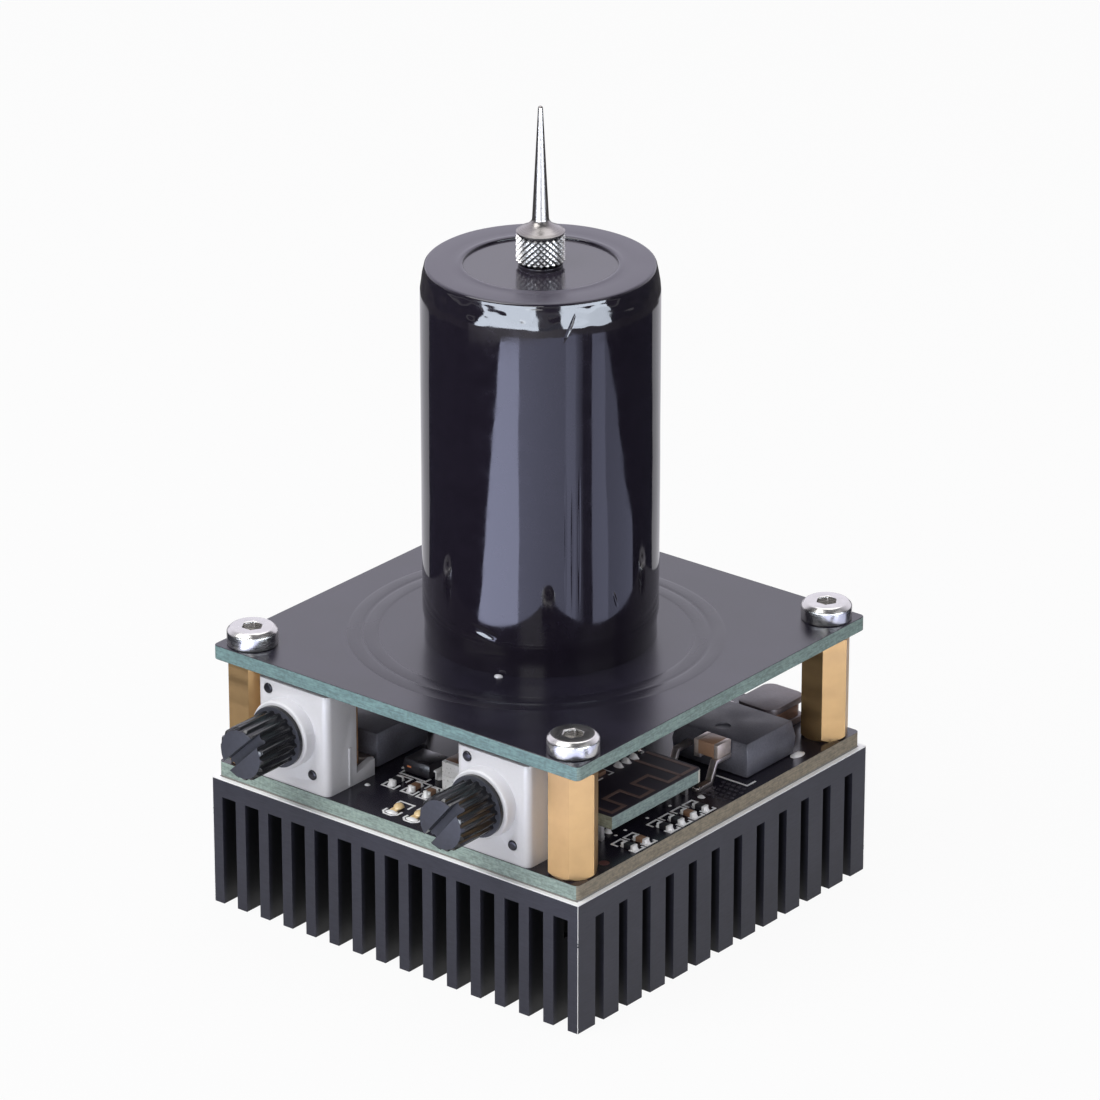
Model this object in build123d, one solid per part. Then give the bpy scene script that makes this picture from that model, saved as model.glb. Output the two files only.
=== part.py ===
from build123d import *
import math
import os

# A desktop resonant transformer: a finned heat sink carries a driver board, four hexagonal
# spacers carry a second board with the flat primary winding, and the upright secondary coil
# stands on that with a needle on top. Two control shafts stand out of the front.
# Millimetres. Z is up, the coil axis is X = Y = 0, and Z = 0 is the plane the fins stand on.
# The two control shafts point towards -Y.

# Heat sink
sink_side = 50.0
sink_height = 14.8
sink_plate = 2.1  # solid plate above the slots
slot_count = 15
slot_width = 1.9
cut_count = 12  # saw cuts across the fins
cut_width = 1.4
cut_shortfall = 0.25  # the cuts stop this much lower than the slots
near_fin = 2.9
far_fin = 2.4

# Boards and what holds them
pad_thickness = 0.2
board_thickness = 1.6
driver_board_inset = 0.5  # board edge behind the heat sink's side
coil_board_inset = 0.25
hole_inset = 3.25  # screw axis behind the heat sink's side
board_corner = 0.6
hole_clearance = 0.1
thread_radius = 1.5
thread_clearance = 0.05
spacer_length = 12.0
spacer_flats = 4.8
stud_length = 5.4
screw_length = 6.0
screw_head_diameter = 5.5
screw_head_height = 2.0
screw_head_chamfer = 0.45
screw_socket_flats = 2.0
screw_socket_depth = 1.2

# Primary winding, a flat track under the board's black mask
track_outer_radius = 20.7
track_width = 1.6
track_pitch = 1.8
track_height = 0.1
track_half_turns = 4
track_start = 128.0  # both ends lie behind the coil

# Secondary coil
former_radius = 12.1
former_wall = 1.4
coil_height = 41.8  # board to the top of the sleeve's rim
wire_layer = 0.2
sleeve_wall = 0.3
sleeve_slack = 0.02
sleeve_shoulder = 0.6
sleeve_rim_chamfer = 0.35
sleeve_mouth_radius = 8.1
cap_flange = 1.5
cap_spigot = 0.9
plug_height = 1.6
plug_bore_radius = 3.0
push_fit = 0.03
lead_radius = 0.2
lead_hole_clearance = 0.1
base_lead_rise = 0.6  # above the base plug
base_lead_offset = 8.6
base_lead_tail = 0.8

# Needle and the insert it screws into
insert_radius = 2.1
insert_rim_radius = 2.35
insert_rim_height = 0.3
insert_length = 4.4
needle_collar_radius = 2.6
needle_collar_height = 3.1
needle_collar_chamfer = 0.15
needle_shoulder_height = 1.0
needle_shoulder_steps = 4
needle_root_radius = 0.88
needle_tip_radius = 0.26
needle_length = 13.1
needle_stud_length = 3.8

# Control potentiometers, measured from the shaft axis and from the housing's front face
shaft_axis_height = 6.3  # above the driver board
left_control_gap = 0.1  # housing to the left front spacer
right_control_gap = 0.95
housing_left = 4.25
housing_right = 5.45
housing_top = 5.2
housing_depth = 4.7
housing_setback = 0.1  # front face behind the board's edge
housing_corner = 0.8
boss_radius = 3.8
boss_height = 1.5
boss_chamfer = 0.15
arm_width = 0.8
arm_height = 1.9
arm_reach = 2.95
arm_flat = 0.5
arm_slope = 0.7
rib_height = 4.6
rib_width = 0.4
rib_proud = 0.12
rib_setback = 3.4
chamber_radius = 3.95
chamber_front_wall = 1.2
shaft_radius = 3.0
shaft_clearance = 0.05
end_play = 0.1
shaft_collar_radius = 3.4
shaft_collar = 0.45
spline_length = 5.6
spline_teeth = 18
spline_depth = 0.3
spline_chamfer = 0.3
screwdriver_slot = 1.15
screwdriver_slot_depth = 1.2
slot_angle = 47.0  # at the middle of the rotor's travel
left_rest_turn = -3.0
right_rest_turn = 3.0
rotor_flange_radius = 3.55
rotor_flange = 0.8
stop_lug_reach = 0.3
stop_lug_angle = 20.0
stop_post_angle = 56.0
pivot_radius = 1.5
wafer_thickness = 0.8
wafer_inset = 0.45
wafer_pivot_stub = 0.1
resistor_inner_radius = 2.5
resistor_outer_radius = 3.4
resistor_thickness = 0.06
resistor_angle = 300.0
wiper_thickness = 0.2
wiper_finger_width = 0.7
wiper_finger_lean = 1.4
wiper_gap = 0.08
rivet_radius = 0.56
rivet_left = 2.7
rivet_right = 3.3
rivet_up = 4.2
rivet_proud = 0.15
pin_pitch = 2.5
pin_width = 0.8
pin_thickness = 0.3
pin_reach = 0.9  # board holes behind the wafer
pin_lift = 0.6  # where the pins leave the wafer, above the board
pin_short_of_board = 0.1  # pins are trimmed inside the board
pin_hole_radius = 0.55

# Radio module
module_length = 19.0
module_width = 15.4
module_thickness = 1.5
module_lift = 1.9
module_edge_inset = 3.1  # module edge behind the driver board's right edge
module_back_y = 0.6
module_pin_pitch = 1.27
module_pins = 12
module_pin_size = 0.5
module_pin_inset = 0.55
module_first_pin = 1.9
processor_side = 6.5
processor_height = 0.9
processor_x = -6.4  # from the module's centre
processor_y = -2.0
crystal_size = (3.2, 2.5, 0.8)
crystal_x = 0.6
crystal_y = -2.4
memory_x = -0.6
memory_y = 4.7

# Eight-pin chips
chip_body = (3.9, 4.9, 1.45)
chip_lead_span = 6.0
chip_lead_pitch = 1.27
chip_lead_width = 0.42
chip_lead_thickness = 0.2
chip_lift = 0.1
gate_driver_x = 0.5
gate_driver_y = 6.0
regulator_x = 6.6
regulator_inset = 4.9  # centre, from the driver board's back edge

# Power transistors: leads on one side, heat tab on the other
transistor_body = (10.2, 8.6, 3.85)
transistor_draft = 0.35
transistor_lift = 0.1
tab_thickness = 1.27
tab_width = 8.8
tab_reach = 1.0
tab_corner = 1.2
lead_pitch = 5.08
lead_width = 0.8
lead_thickness = 0.5
lead_exit_height = 2.0
lead_shoulder = 2.6
lead_drop_run = 0.9
lead_foot = 2.3
middle_lead = 2.2
right_transistor_inset = (7.0, 13.3)  # centre, from the board's right and back edges
left_transistor_inset = 13.2  # from its front edge
left_transistor_share = 0.31  # of the free width, between the transistor and the rectifier

# Capacitors, rectifier and storage coil
snubber_size = (3.2, 2.3, 1.6)
bulk_size = (2.5, 3.2, 1.6)
bulk_gap = 1.25  # to the radio module
bulk_inset = 11.1  # centre, from the board's front edge
bulk_stack_gap = 0.05
cap_end = 0.55
rectifier_body = (3.7, 3.4, 1.6)
rectifier_draft = 0.15
rectifier_lift = 0.1
rectifier_lead_width = 2.0
rectifier_lead_thickness = 0.25
rectifier_lead_reach = 0.45
rectifier_gap = 1.8  # to the bulk capacitors
rectifier_inset = 11.8
inductor_size = (5.1, 6.2, 3.0)
inductor_corner = 1.2
inductor_flange = 0.75
inductor_neck_radius = 1.5
inductor_winding_gap = 0.05
inductor_winding_inset = 0.25
inductor_inset = (8.95, 4.2)  # centre, from the board's right and back edges

# Small chip parts: length, width, height, and centres with the direction they lie in
small_size = (1.6, 0.8, 0.55)
small_end = 0.35
right_row_inset = 1.55  # behind the driver board's right edge
right_row_capacitors = (-11.9, -3.8)
right_row_resistors = (-13.9, -7.9, -5.9, -1.8)
front_capacitors = ((-3.6, 7.8), (-1.45, 7.75))  # the second number is from the front edge
front_resistors = ((-6.15, 7.7),)
lamp_size = (0.8, 1.6, 0.5)
lamp_places = ((-1.85, 2.7), (0.95, 2.7))

# Power inlet at the back edge
jack_width = 9.0
jack_length = 14.0
jack_height = 11.0
jack_front = 3.3
jack_x = -7.0
jack_bore_radius = 3.15
jack_bore_depth = 9.5
jack_bore_height = 6.5
jack_body_radius = 4.2
jack_pin_radius = 1.0
jack_pin_recess = 1.0
jack_terminal_width = 2.4
jack_terminal_thickness = 0.4
jack_rear_terminal = 1.2  # from the housing's closed end
jack_side_terminal = (1.0, 2.0)  # inside the housing's side, and behind its middle
jack_spring_length = 6.0

# Levels and places that follow from the sizes above
driver_board_side = sink_side - 2 * driver_board_inset
coil_board_side = sink_side - 2 * coil_board_inset
hole_spacing = sink_side - 2 * hole_inset
board_edge = driver_board_side / 2
sink_top = sink_height
driver_board_bottom = sink_top + pad_thickness
driver_board_top = driver_board_bottom + board_thickness
coil_board_bottom = driver_board_top + spacer_length
coil_board_top = coil_board_bottom + board_thickness
sleeve_top = coil_board_top + coil_height
cap_top = sleeve_top - sleeve_wall
former_top = cap_top - cap_flange
former_bore = former_radius - former_wall
winding_radius = former_radius + wire_layer
base_lead_z = coil_board_top + plug_height + base_lead_rise + lead_hole_clearance
top_lead_z = former_top - cap_spigot - lead_hole_clearance - lead_radius
winding_bottom = base_lead_z + lead_radius
winding_top = top_lead_z - lead_radius
insert_top = cap_top + insert_rim_height
insert_bottom = cap_top - insert_length
spacer_corner = spacer_flats / 2 / math.cos(math.pi / 6)
corner_places = [(sx * hole_spacing / 2, sy * hole_spacing / 2) for sy in (-1, 1) for sx in (-1, 1)]
corner_names = ["front_left", "front_right", "rear_left", "rear_right"]
shaft_axis_z = driver_board_top + shaft_axis_height
housing_front_y = -board_edge + housing_setback
left_shaft_x = -hole_spacing / 2 + spacer_corner + left_control_gap + housing_left
right_shaft_x = hole_spacing / 2 - spacer_corner - right_control_gap - housing_right
pin_row = housing_depth + wafer_thickness + pin_reach  # behind the housing's front face
module_bottom = driver_board_top + module_lift
module_top = module_bottom + module_thickness
module_center_x = board_edge - module_edge_inset - module_length / 2
module_center_y = module_back_y - module_width / 2
bulk_x = module_center_x - module_length / 2 - bulk_gap - bulk_size[0] / 2
bulk_y = -board_edge + bulk_inset
rectifier_half = rectifier_body[0] / 2 + rectifier_lead_reach
rectifier_x = bulk_x - bulk_size[0] / 2 - rectifier_gap - rectifier_half
rectifier_y = -board_edge + rectifier_inset
left_free = rectifier_x - rectifier_half + board_edge - transistor_body[0]
left_transistor_x = rectifier_x - rectifier_half - left_transistor_share * left_free - transistor_body[0] / 2
left_transistor_y = -board_edge + left_transistor_inset
right_transistor_x = board_edge - right_transistor_inset[0]
right_transistor_y = board_edge - right_transistor_inset[1]
inductor_x = board_edge - inductor_inset[0]
inductor_y = board_edge - inductor_inset[1]
regulator_y = board_edge - regulator_inset
jack_front_y = board_edge


def block(x, y, z):
    """A box between two places along each axis."""
    size = [abs(side[1] - side[0]) for side in (x, y, z)]
    middle = [(side[0] + side[1]) / 2 for side in (x, y, z)]
    return Pos(*middle) * Box(*size)


def rod(x, y, bottom, top, radius):
    """An upright cylinder."""
    return Pos(x, y, (bottom + top) / 2) * Cylinder(radius, top - bottom)


def turned(points):
    """A solid of revolution about Z from an outline of radius and height."""
    outline = [(radius, 0, height) for radius, height in points]
    return revolve(make_face(Polyline(*outline, close=True)), Axis.Z)


def slab(side, bottom, thickness, corner):
    """A square board with small round corners."""
    plate = RectangleRounded(side, side, corner)
    return extrude(Pos(0, 0, bottom) * plate, thickness)


def ring_sector(inner, outer, start, sweep):
    """A flat ring, or part of one when the sweep is under a full turn."""
    a = math.radians(start)
    b = math.radians(start + sweep)
    m = (a + b) / 2

    def at(radius, angle):
        return radius * math.cos(angle), radius * math.sin(angle)

    outer_arc = ThreePointArc(at(outer, a), at(outer, m), at(outer, b))
    inner_arc = ThreePointArc(at(inner, b), at(inner, m), at(inner, a))
    sides = [Line(at(outer, b), at(inner, b)), Line(at(inner, a), at(outer, a))]
    return make_face([outer_arc, sides[0], inner_arc, sides[1]])


def group(shapes):
    """Separate solids that share one node."""
    return Compound(children=[solid for shape in shapes for solid in shape.solids()])


def heat_sink():
    plate_bottom = sink_top - sink_plate
    body = block((-sink_side / 2, sink_side / 2), (-sink_side / 2, sink_side / 2), (0, sink_top))
    fin = (sink_side - slot_count * slot_width) / (slot_count + 1)
    slots = []
    for index in range(slot_count):
        left = -sink_side / 2 + fin + index * (fin + slot_width)
        slots.append(block((left, left + slot_width), (-sink_side, sink_side), (-1, plate_bottom)))
    inner_fins = sink_side - near_fin - far_fin - cut_count * cut_width
    pitch = inner_fins / (cut_count - 1) + cut_width
    for index in range(cut_count):
        near = -sink_side / 2 + near_fin + index * pitch
        top = plate_bottom - cut_shortfall
        slots.append(block((-sink_side, sink_side), (near, near + cut_width), (-1, top)))
    body -= slots
    taps = [rod(x, y, sink_top - stud_length, sink_top + 1, thread_radius) for x, y in corner_places]
    return body - taps


def thermal_pad():
    pad = slab(driver_board_side, sink_top, pad_thickness, board_corner)
    radius = thread_radius + hole_clearance
    return pad - [rod(x, y, sink_top - 1, driver_board_bottom + 1, radius) for x, y in corner_places]


def control_pin_places(shaft_x):
    y = housing_front_y + pin_row
    return [(shaft_x + step * pin_pitch, y) for step in (-1, 0, 1)]


def jack_terminal_places():
    """Centre, and the direction each flat terminal lies in."""
    middle = jack_front_y - jack_length / 2
    rear = jack_front_y - jack_length + jack_rear_terminal
    side = jack_x + jack_width / 2 - jack_side_terminal[0]
    return [(jack_x, rear, "x"), (jack_x, middle, "x"), (side, middle + jack_side_terminal[1], "y")]


def driver_board():
    board = slab(driver_board_side, driver_board_bottom, board_thickness, board_corner)
    radius = thread_radius + hole_clearance
    low = driver_board_bottom - 1
    high = driver_board_top + 1
    holes = [rod(x, y, low, high, radius) for x, y in corner_places]
    for shaft_x in (left_shaft_x, right_shaft_x):
        for x, y in control_pin_places(shaft_x):
            holes.append(rod(x, y, low, high, pin_hole_radius))
    half = jack_terminal_width / 2 + hole_clearance
    thin = jack_terminal_thickness / 2 + hole_clearance
    for x, y, direction in jack_terminal_places():
        reach_x, reach_y = (half, thin) if direction == "x" else (thin, half)
        holes.append(block((x - reach_x, x + reach_x), (y - reach_y, y + reach_y), (low, high)))
    return board - holes


def spacer(x, y):
    prism = extrude(Pos(0, 0, driver_board_top) * RegularPolygon(spacer_flats / 2, 6, major_radius=False),
                    spacer_length)
    tapped = rod(0, 0, coil_board_bottom - screw_length, coil_board_bottom + 1, thread_radius)
    stud = rod(0, 0, driver_board_top - stud_length, driver_board_top, thread_radius - thread_clearance)
    return Pos(x, y, 0) * (prism - tapped + stud)


def cap_screw(x, y):
    head_top = coil_board_top + screw_head_height
    head_radius = screw_head_diameter / 2
    head = turned([(0, coil_board_top),
                   (head_radius, coil_board_top),
                   (head_radius, head_top - screw_head_chamfer),
                   (head_radius - screw_head_chamfer, head_top),
                   (0, head_top)])
    socket_plane = Pos(0, 0, head_top - screw_socket_depth)
    socket = extrude(socket_plane * RegularPolygon(screw_socket_flats / 2, 6, major_radius=False),
                     screw_socket_depth + 1)
    shank = rod(0, 0, coil_board_top - screw_length, coil_board_top, thread_radius - thread_clearance)
    return Pos(x, y, 0) * (head - socket + shank)


def coil_board():
    board = slab(coil_board_side, coil_board_bottom, board_thickness, board_corner)
    low = coil_board_bottom - 1
    high = coil_board_top + 1
    holes = [rod(x, y, low, high, thread_radius + hole_clearance) for x, y in corner_places]
    holes.append(rod(base_lead_offset, 0, low, high, lead_radius + lead_hole_clearance))
    return board - holes


def primary_winding():
    """Half turns whose centres alternate, so that the track spirals inwards without a kink."""
    track = None
    for index in range(track_half_turns):
        center_x = 0 if index % 2 == 0 else -track_pitch / 2
        middle = track_outer_radius - track_width / 2 - index * track_pitch / 2
        start = 0 if index % 2 == 0 else 180
        half = ring_sector(middle - track_width / 2, middle + track_width / 2, start, 180)
        half = Pos(center_x, 0, coil_board_top) * half
        track = half if track is None else track + half
    return Rot(0, 0, track_start) * extrude(track, track_height)


def coil_former():
    tube = turned([(former_bore, coil_board_top),
                   (former_radius, coil_board_top),
                   (former_radius, former_top),
                   (former_bore, former_top)])
    hole = lead_radius + lead_hole_clearance
    bores = [Pos(former_radius, 0, level) * Rot(0, 90, 0) * Cylinder(hole, 3 * former_wall)
             for level in (base_lead_z, top_lead_z)]
    return tube - bores


def coil_base_plug():
    plug = turned([(plug_bore_radius, coil_board_top),
                   (former_bore - push_fit, coil_board_top),
                   (former_bore - push_fit, coil_board_top + plug_height),
                   (plug_bore_radius, coil_board_top + plug_height)])
    hole = rod(base_lead_offset, 0, coil_board_top - 1, coil_board_top + plug_height + 1,
               lead_radius + lead_hole_clearance)
    return plug - hole


def coil_top_cap():
    return turned([(insert_radius + push_fit, former_top - cap_spigot),
                   (former_bore - push_fit, former_top - cap_spigot),
                   (former_bore - push_fit, former_top),
                   (former_radius, former_top),
                   (former_radius, cap_top),
                   (insert_radius + push_fit, cap_top)])


def secondary_winding():
    return turned([(former_radius, winding_bottom),
                   (winding_radius, winding_bottom),
                   (winding_radius, winding_top),
                   (former_radius, winding_top)])


def secondary_leads():
    """The winding's two ends: one to the needle's insert, one down through the board."""
    top_reach = former_radius - insert_radius
    top_lead = (Pos(insert_radius + top_reach / 2, 0, top_lead_z) * Rot(0, 90, 0)
                * Cylinder(lead_radius, top_reach))
    base_reach = former_radius - base_lead_offset
    base_lead = (Pos(base_lead_offset + base_reach / 2, 0, base_lead_z) * Rot(0, 90, 0)
                 * Cylinder(lead_radius, base_reach))
    base_lead += rod(base_lead_offset, 0, coil_board_bottom - base_lead_tail, base_lead_z + lead_radius,
                     lead_radius)
    return group([top_lead, base_lead])


def heat_shrink_sleeve():
    """Shrunk over the winding, drawn in at both bare ends and folded over the top cap."""
    bare = former_radius + sleeve_slack
    over = winding_radius + sleeve_slack
    low = winding_bottom
    high = winding_top
    inner = [(bare, coil_board_top),
             (bare, low - sleeve_shoulder),
             (over, low - sleeve_slack),
             (over, high + sleeve_slack),
             (bare, high + sleeve_shoulder),
             (bare, cap_top),
             (sleeve_mouth_radius, cap_top)]
    outer = [(sleeve_mouth_radius, sleeve_top),
             (bare + sleeve_wall - sleeve_rim_chamfer, sleeve_top),
             (bare + sleeve_wall, sleeve_top - sleeve_rim_chamfer),
             (bare + sleeve_wall, high + sleeve_shoulder),
             (over + sleeve_wall, high),
             (over + sleeve_wall, low),
             (bare + sleeve_wall, low - sleeve_shoulder),
             (bare + sleeve_wall, coil_board_top)]
    return turned(inner + outer)


def needle_insert():
    return turned([(thread_radius, insert_bottom),
                   (insert_radius, insert_bottom),
                   (insert_radius, cap_top),
                   (insert_rim_radius, cap_top),
                   (insert_rim_radius, insert_top),
                   (thread_radius, insert_top)])


def discharge_needle():
    collar_top = insert_top + needle_collar_height
    root = collar_top + needle_shoulder_height
    tip = root + needle_length
    chamfer = needle_collar_chamfer
    stud_radius = thread_radius - thread_clearance
    stud_bottom = insert_top - needle_stud_length
    collar_edge = needle_collar_radius - chamfer
    outline = [(0, stud_bottom), (stud_radius, stud_bottom), (stud_radius, insert_top),
               (collar_edge, insert_top), (needle_collar_radius, insert_top + chamfer),
               (needle_collar_radius, collar_top - chamfer)]
    spread = collar_edge - needle_root_radius
    for step in range(needle_shoulder_steps + 1):
        turn = math.pi / 2 * step / needle_shoulder_steps
        outline.append((collar_edge - spread * math.sin(turn),
                        root - needle_shoulder_height * math.cos(turn)))
    outline += [(needle_tip_radius, tip - needle_tip_radius), (needle_tip_radius / 2, tip), (0, tip)]
    return turned(outline)


# Control potentiometers. Their parts are made about the shaft axis: X to the right, Y up,
# Z out of the front, with Z = 0 on the housing's front face.

def control_place(shaft_x):
    return Plane((shaft_x, housing_front_y, shaft_axis_z), x_dir=(1, 0, 0), z_dir=(0, -1, 0)).location


def control_housing():
    front_corners = block((-housing_left, housing_right), (-shaft_axis_height, housing_top),
                          (-housing_depth, 0))
    upright = front_corners.edges().filter_by(Axis.Y).group_by(Axis.Z)[-1]
    body = fillet(upright, housing_corner)
    body += turned([(0, -chamber_front_wall),
                    (boss_radius, -chamber_front_wall),
                    (boss_radius, boss_height - boss_chamfer),
                    (boss_radius - boss_chamfer, boss_height),
                    (0, boss_height)])
    arm_profile = [(-housing_depth, -shaft_axis_height),
                   (-housing_depth - arm_reach, -shaft_axis_height),
                   (-housing_depth - arm_reach, -shaft_axis_height + arm_height),
                   (-housing_depth - arm_reach + arm_flat, -shaft_axis_height + arm_height),
                   (-housing_depth, -shaft_axis_height + arm_height - arm_slope)]
    for left in (-housing_left, housing_right - arm_width):
        outline = Polyline(*[(left, y, z) for z, y in arm_profile], close=True)
        body += extrude(make_face(outline), amount=arm_width, dir=(1, 0, 0))
    for side, out in ((-housing_left, -rib_proud), (housing_right, rib_proud)):
        body += block((side, side + out), (-shaft_axis_height + 0.2, -shaft_axis_height + rib_height),
                      (-rib_setback - rib_width, -rib_setback))
    chamber_depth = housing_depth - chamber_front_wall
    chamber = Pos(0, 0, -housing_depth + chamber_depth / 2) * Cylinder(chamber_radius, chamber_depth)
    post = extrude(ring_sector(rotor_flange_radius + end_play, chamber_radius + 0.1,
                               -90 - stop_post_angle / 2, stop_post_angle), chamber_depth)
    chamber -= Pos(0, 0, -housing_depth) * post
    bore = Cylinder(shaft_radius + shaft_clearance, 4 * housing_depth)
    rivets = [Pos(x, y, 0) * Cylinder(rivet_radius + push_fit, 4 * housing_depth)
              for x, y in rivet_places()]
    return body - [chamber, bore] - rivets


def rivet_places():
    return (-rivet_left, rivet_up), (rivet_right, -rivet_up)


def control_wafer():
    back = -housing_depth - wafer_thickness
    arm_top = -shaft_axis_height + arm_height + 0.1
    left = -housing_left + wafer_inset
    right = housing_right - wafer_inset
    plate = block((left, right), (arm_top, housing_top - wafer_inset), (back, -housing_depth))
    inner_left = -housing_left + arm_width + 0.1
    inner_right = housing_right - arm_width - 0.1
    plate += block((inner_left, inner_right), (-shaft_axis_height + wafer_inset, arm_top),
                   (back, -housing_depth))
    holes = [Cylinder(pivot_radius + shaft_clearance, 4 * housing_depth)]
    holes += [Pos(x, y, 0) * Cylinder(rivet_radius + push_fit, 4 * housing_depth)
              for x, y in rivet_places()]
    return plate - holes


def control_resistor():
    start = -90 + (360 - resistor_angle) / 2
    ring = ring_sector(resistor_inner_radius, resistor_outer_radius, start, resistor_angle)
    return extrude(Pos(0, 0, -housing_depth) * ring, resistor_thickness)


def control_rivets():
    length = housing_depth + wafer_thickness + 2 * rivet_proud
    middle = rivet_proud - length / 2
    return group([Pos(x, y, middle) * Cylinder(rivet_radius, length) for x, y in rivet_places()])


def control_terminals():
    wafer_back = -housing_depth - wafer_thickness
    bend = -shaft_axis_height + pin_lift
    pad_top = -rivet_up - rivet_radius - end_play
    pins = []
    for step in (-1, 0, 1):
        x = (step * pin_pitch - pin_width / 2, step * pin_pitch + pin_width / 2)
        row = -pin_row
        pin = block(x, (bend, pad_top), (wafer_back - pin_thickness, wafer_back))
        pin += block(x, (bend, bend + pin_thickness), (row - pin_thickness / 2, wafer_back))
        bottom = -shaft_axis_height - board_thickness + pin_short_of_board
        narrow = pin_hole_radius * 0.7
        x_tail = (step * pin_pitch - narrow, step * pin_pitch + narrow)
        pin += block(x_tail, (bottom, bend + pin_thickness),
                     (row - pin_thickness / 2, row + pin_thickness / 2))
        pins.append(pin)
    return group(pins)


def spline_outline():
    points = []
    for tooth in range(spline_teeth):
        for offset, radius in ((-0.32, shaft_radius - spline_depth), (-0.14, shaft_radius),
                               (0.14, shaft_radius), (0.32, shaft_radius - spline_depth)):
            angle = 2 * math.pi * (tooth + offset) / spline_teeth
            points.append((radius * math.cos(angle), radius * math.sin(angle)))
    return make_face(Polyline(*points, close=True))


def control_shaft():
    collar_back = boss_height + end_play
    spline_back = collar_back + shaft_collar
    shaft_end = spline_back + spline_length
    flange_front = -chamber_front_wall - end_play
    flange_back = flange_front - rotor_flange
    pivot_end = -housing_depth - wafer_thickness - wafer_pivot_stub
    body = turned([(0, pivot_end),
                   (pivot_radius, pivot_end),
                   (pivot_radius, flange_back),
                   (rotor_flange_radius, flange_back),
                   (rotor_flange_radius, flange_front),
                   (shaft_radius, flange_front),
                   (shaft_radius, collar_back),
                   (shaft_collar_radius, collar_back),
                   (shaft_collar_radius, spline_back),
                   (0, spline_back)])
    spline = extrude(Pos(0, 0, spline_back) * spline_outline(), spline_length)
    spline &= turned([(0, spline_back - 1),
                      (shaft_radius + 1, spline_back - 1),
                      (shaft_radius + 1, shaft_end - spline_chamfer - 1),
                      (shaft_radius - spline_chamfer, shaft_end),
                      (0, shaft_end)])
    lug = ring_sector(rotor_flange_radius - 0.2, rotor_flange_radius + stop_lug_reach,
                      90 - stop_lug_angle / 2, stop_lug_angle)
    body += extrude(Pos(0, 0, flange_back) * lug, rotor_flange)
    slot = block((-2 * shaft_radius, 2 * shaft_radius), (-screwdriver_slot / 2, screwdriver_slot / 2),
                 (shaft_end - screwdriver_slot_depth, shaft_end + 1))
    return body + spline - Rot(0, 0, slot_angle) * slot


def control_wiper():
    front = -chamber_front_wall - end_play - rotor_flange
    back = front - wiper_thickness
    ring = ring_sector(pivot_radius + push_fit, rotor_flange_radius - 0.3, 0, 180)
    ring += ring_sector(pivot_radius + push_fit, rotor_flange_radius - 0.3, 180, 180)
    wiper = extrude(Pos(0, 0, back) * ring, wiper_thickness)
    touch = -housing_depth + resistor_thickness + wiper_gap
    middle = (resistor_inner_radius + resistor_outer_radius) / 2
    thick = 1.5 * wiper_thickness
    outline = [(0, front), (thick, front), (wiper_finger_lean + thick, touch), (wiper_finger_lean, touch)]
    inner = middle - wiper_finger_width / 2
    for turn in (0, 180):
        finger = make_face(Polyline(*[(inner, run, level) for run, level in outline], close=True))
        wiper += Rot(0, 0, turn) * extrude(finger, amount=wiper_finger_width, dir=(1, 0, 0))
    return wiper


def control(prefix, shaft_x, rest_turn):
    place = control_place(shaft_x)
    rotor = Rot(0, 0, rest_turn)
    pieces = {"housing": control_housing(),
              "wafer": control_wafer(),
              "resistor_track": control_resistor(),
              "rivets": control_rivets(),
              "terminals": control_terminals(),
              "shaft": rotor * control_shaft(),
              "wiper": rotor * control_wiper()}
    return {prefix + name: place * piece for name, piece in pieces.items()}


def radio_board():
    return block((module_center_x - module_length / 2, module_center_x + module_length / 2),
                 (module_center_y - module_width / 2, module_center_y + module_width / 2),
                 (module_bottom, module_top))


def radio_pins():
    pins = []
    half = module_pin_size / 2
    for index in range(module_pins):
        x = module_center_x + module_length / 2 - module_first_pin - index * module_pin_pitch
        for side in (-1, 1):
            y = module_center_y + side * (module_width / 2 - module_pin_inset)
            pins.append(block((x - half, x + half), (y - half, y + half),
                              (driver_board_top, module_bottom)))
    return group(pins)


def radio_processor():
    x = module_center_x + processor_x
    y = module_center_y + processor_y
    half = processor_side / 2
    return block((x - half, x + half), (y - half, y + half), (module_top, module_top + processor_height))


def radio_crystal():
    x = module_center_x + crystal_x
    y = module_center_y + crystal_y
    length, width, height = crystal_size
    can = Pos(x, y, module_top + height / 2) * Box(width, length, height)
    return chamfer(can.edges().group_by(Axis.Z)[-1], height / 4)


def chip_case(x, y, bottom):
    width, length, height = chip_body
    case = Pos(x, y, bottom + chip_lift + height / 2) * Box(width, length, height)
    return chamfer(case.edges().filter_by(Axis.Y).group_by(Axis.Z)[-1], height / 6)


def chip_leads(x, y, bottom):
    """Four bent leads on each long side, from half the case's height down to the pads."""
    half_case = chip_body[0] / 2
    half_span = chip_lead_span / 2
    middle = bottom + chip_lift + chip_body[2] / 2
    thick = chip_lead_thickness
    knee = half_case + (half_span - half_case) * 0.45
    outline = [(half_case, middle), (half_case, middle + thick), (knee, middle + thick),
               (knee + thick, bottom + thick), (half_span, bottom + thick), (half_span, bottom),
               (knee, bottom), (knee - thick / 2, middle)]
    leads = []
    for side in (-1, 1):
        for row in range(4):
            start = (row - 1.5) * chip_lead_pitch - chip_lead_width / 2
            face = make_face(Polyline(*[(side * run, start, level) for run, level in outline], close=True))
            leads.append(Pos(x, y, 0) * extrude(face, amount=chip_lead_width, dir=(0, 1, 0)))
    return leads


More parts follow.
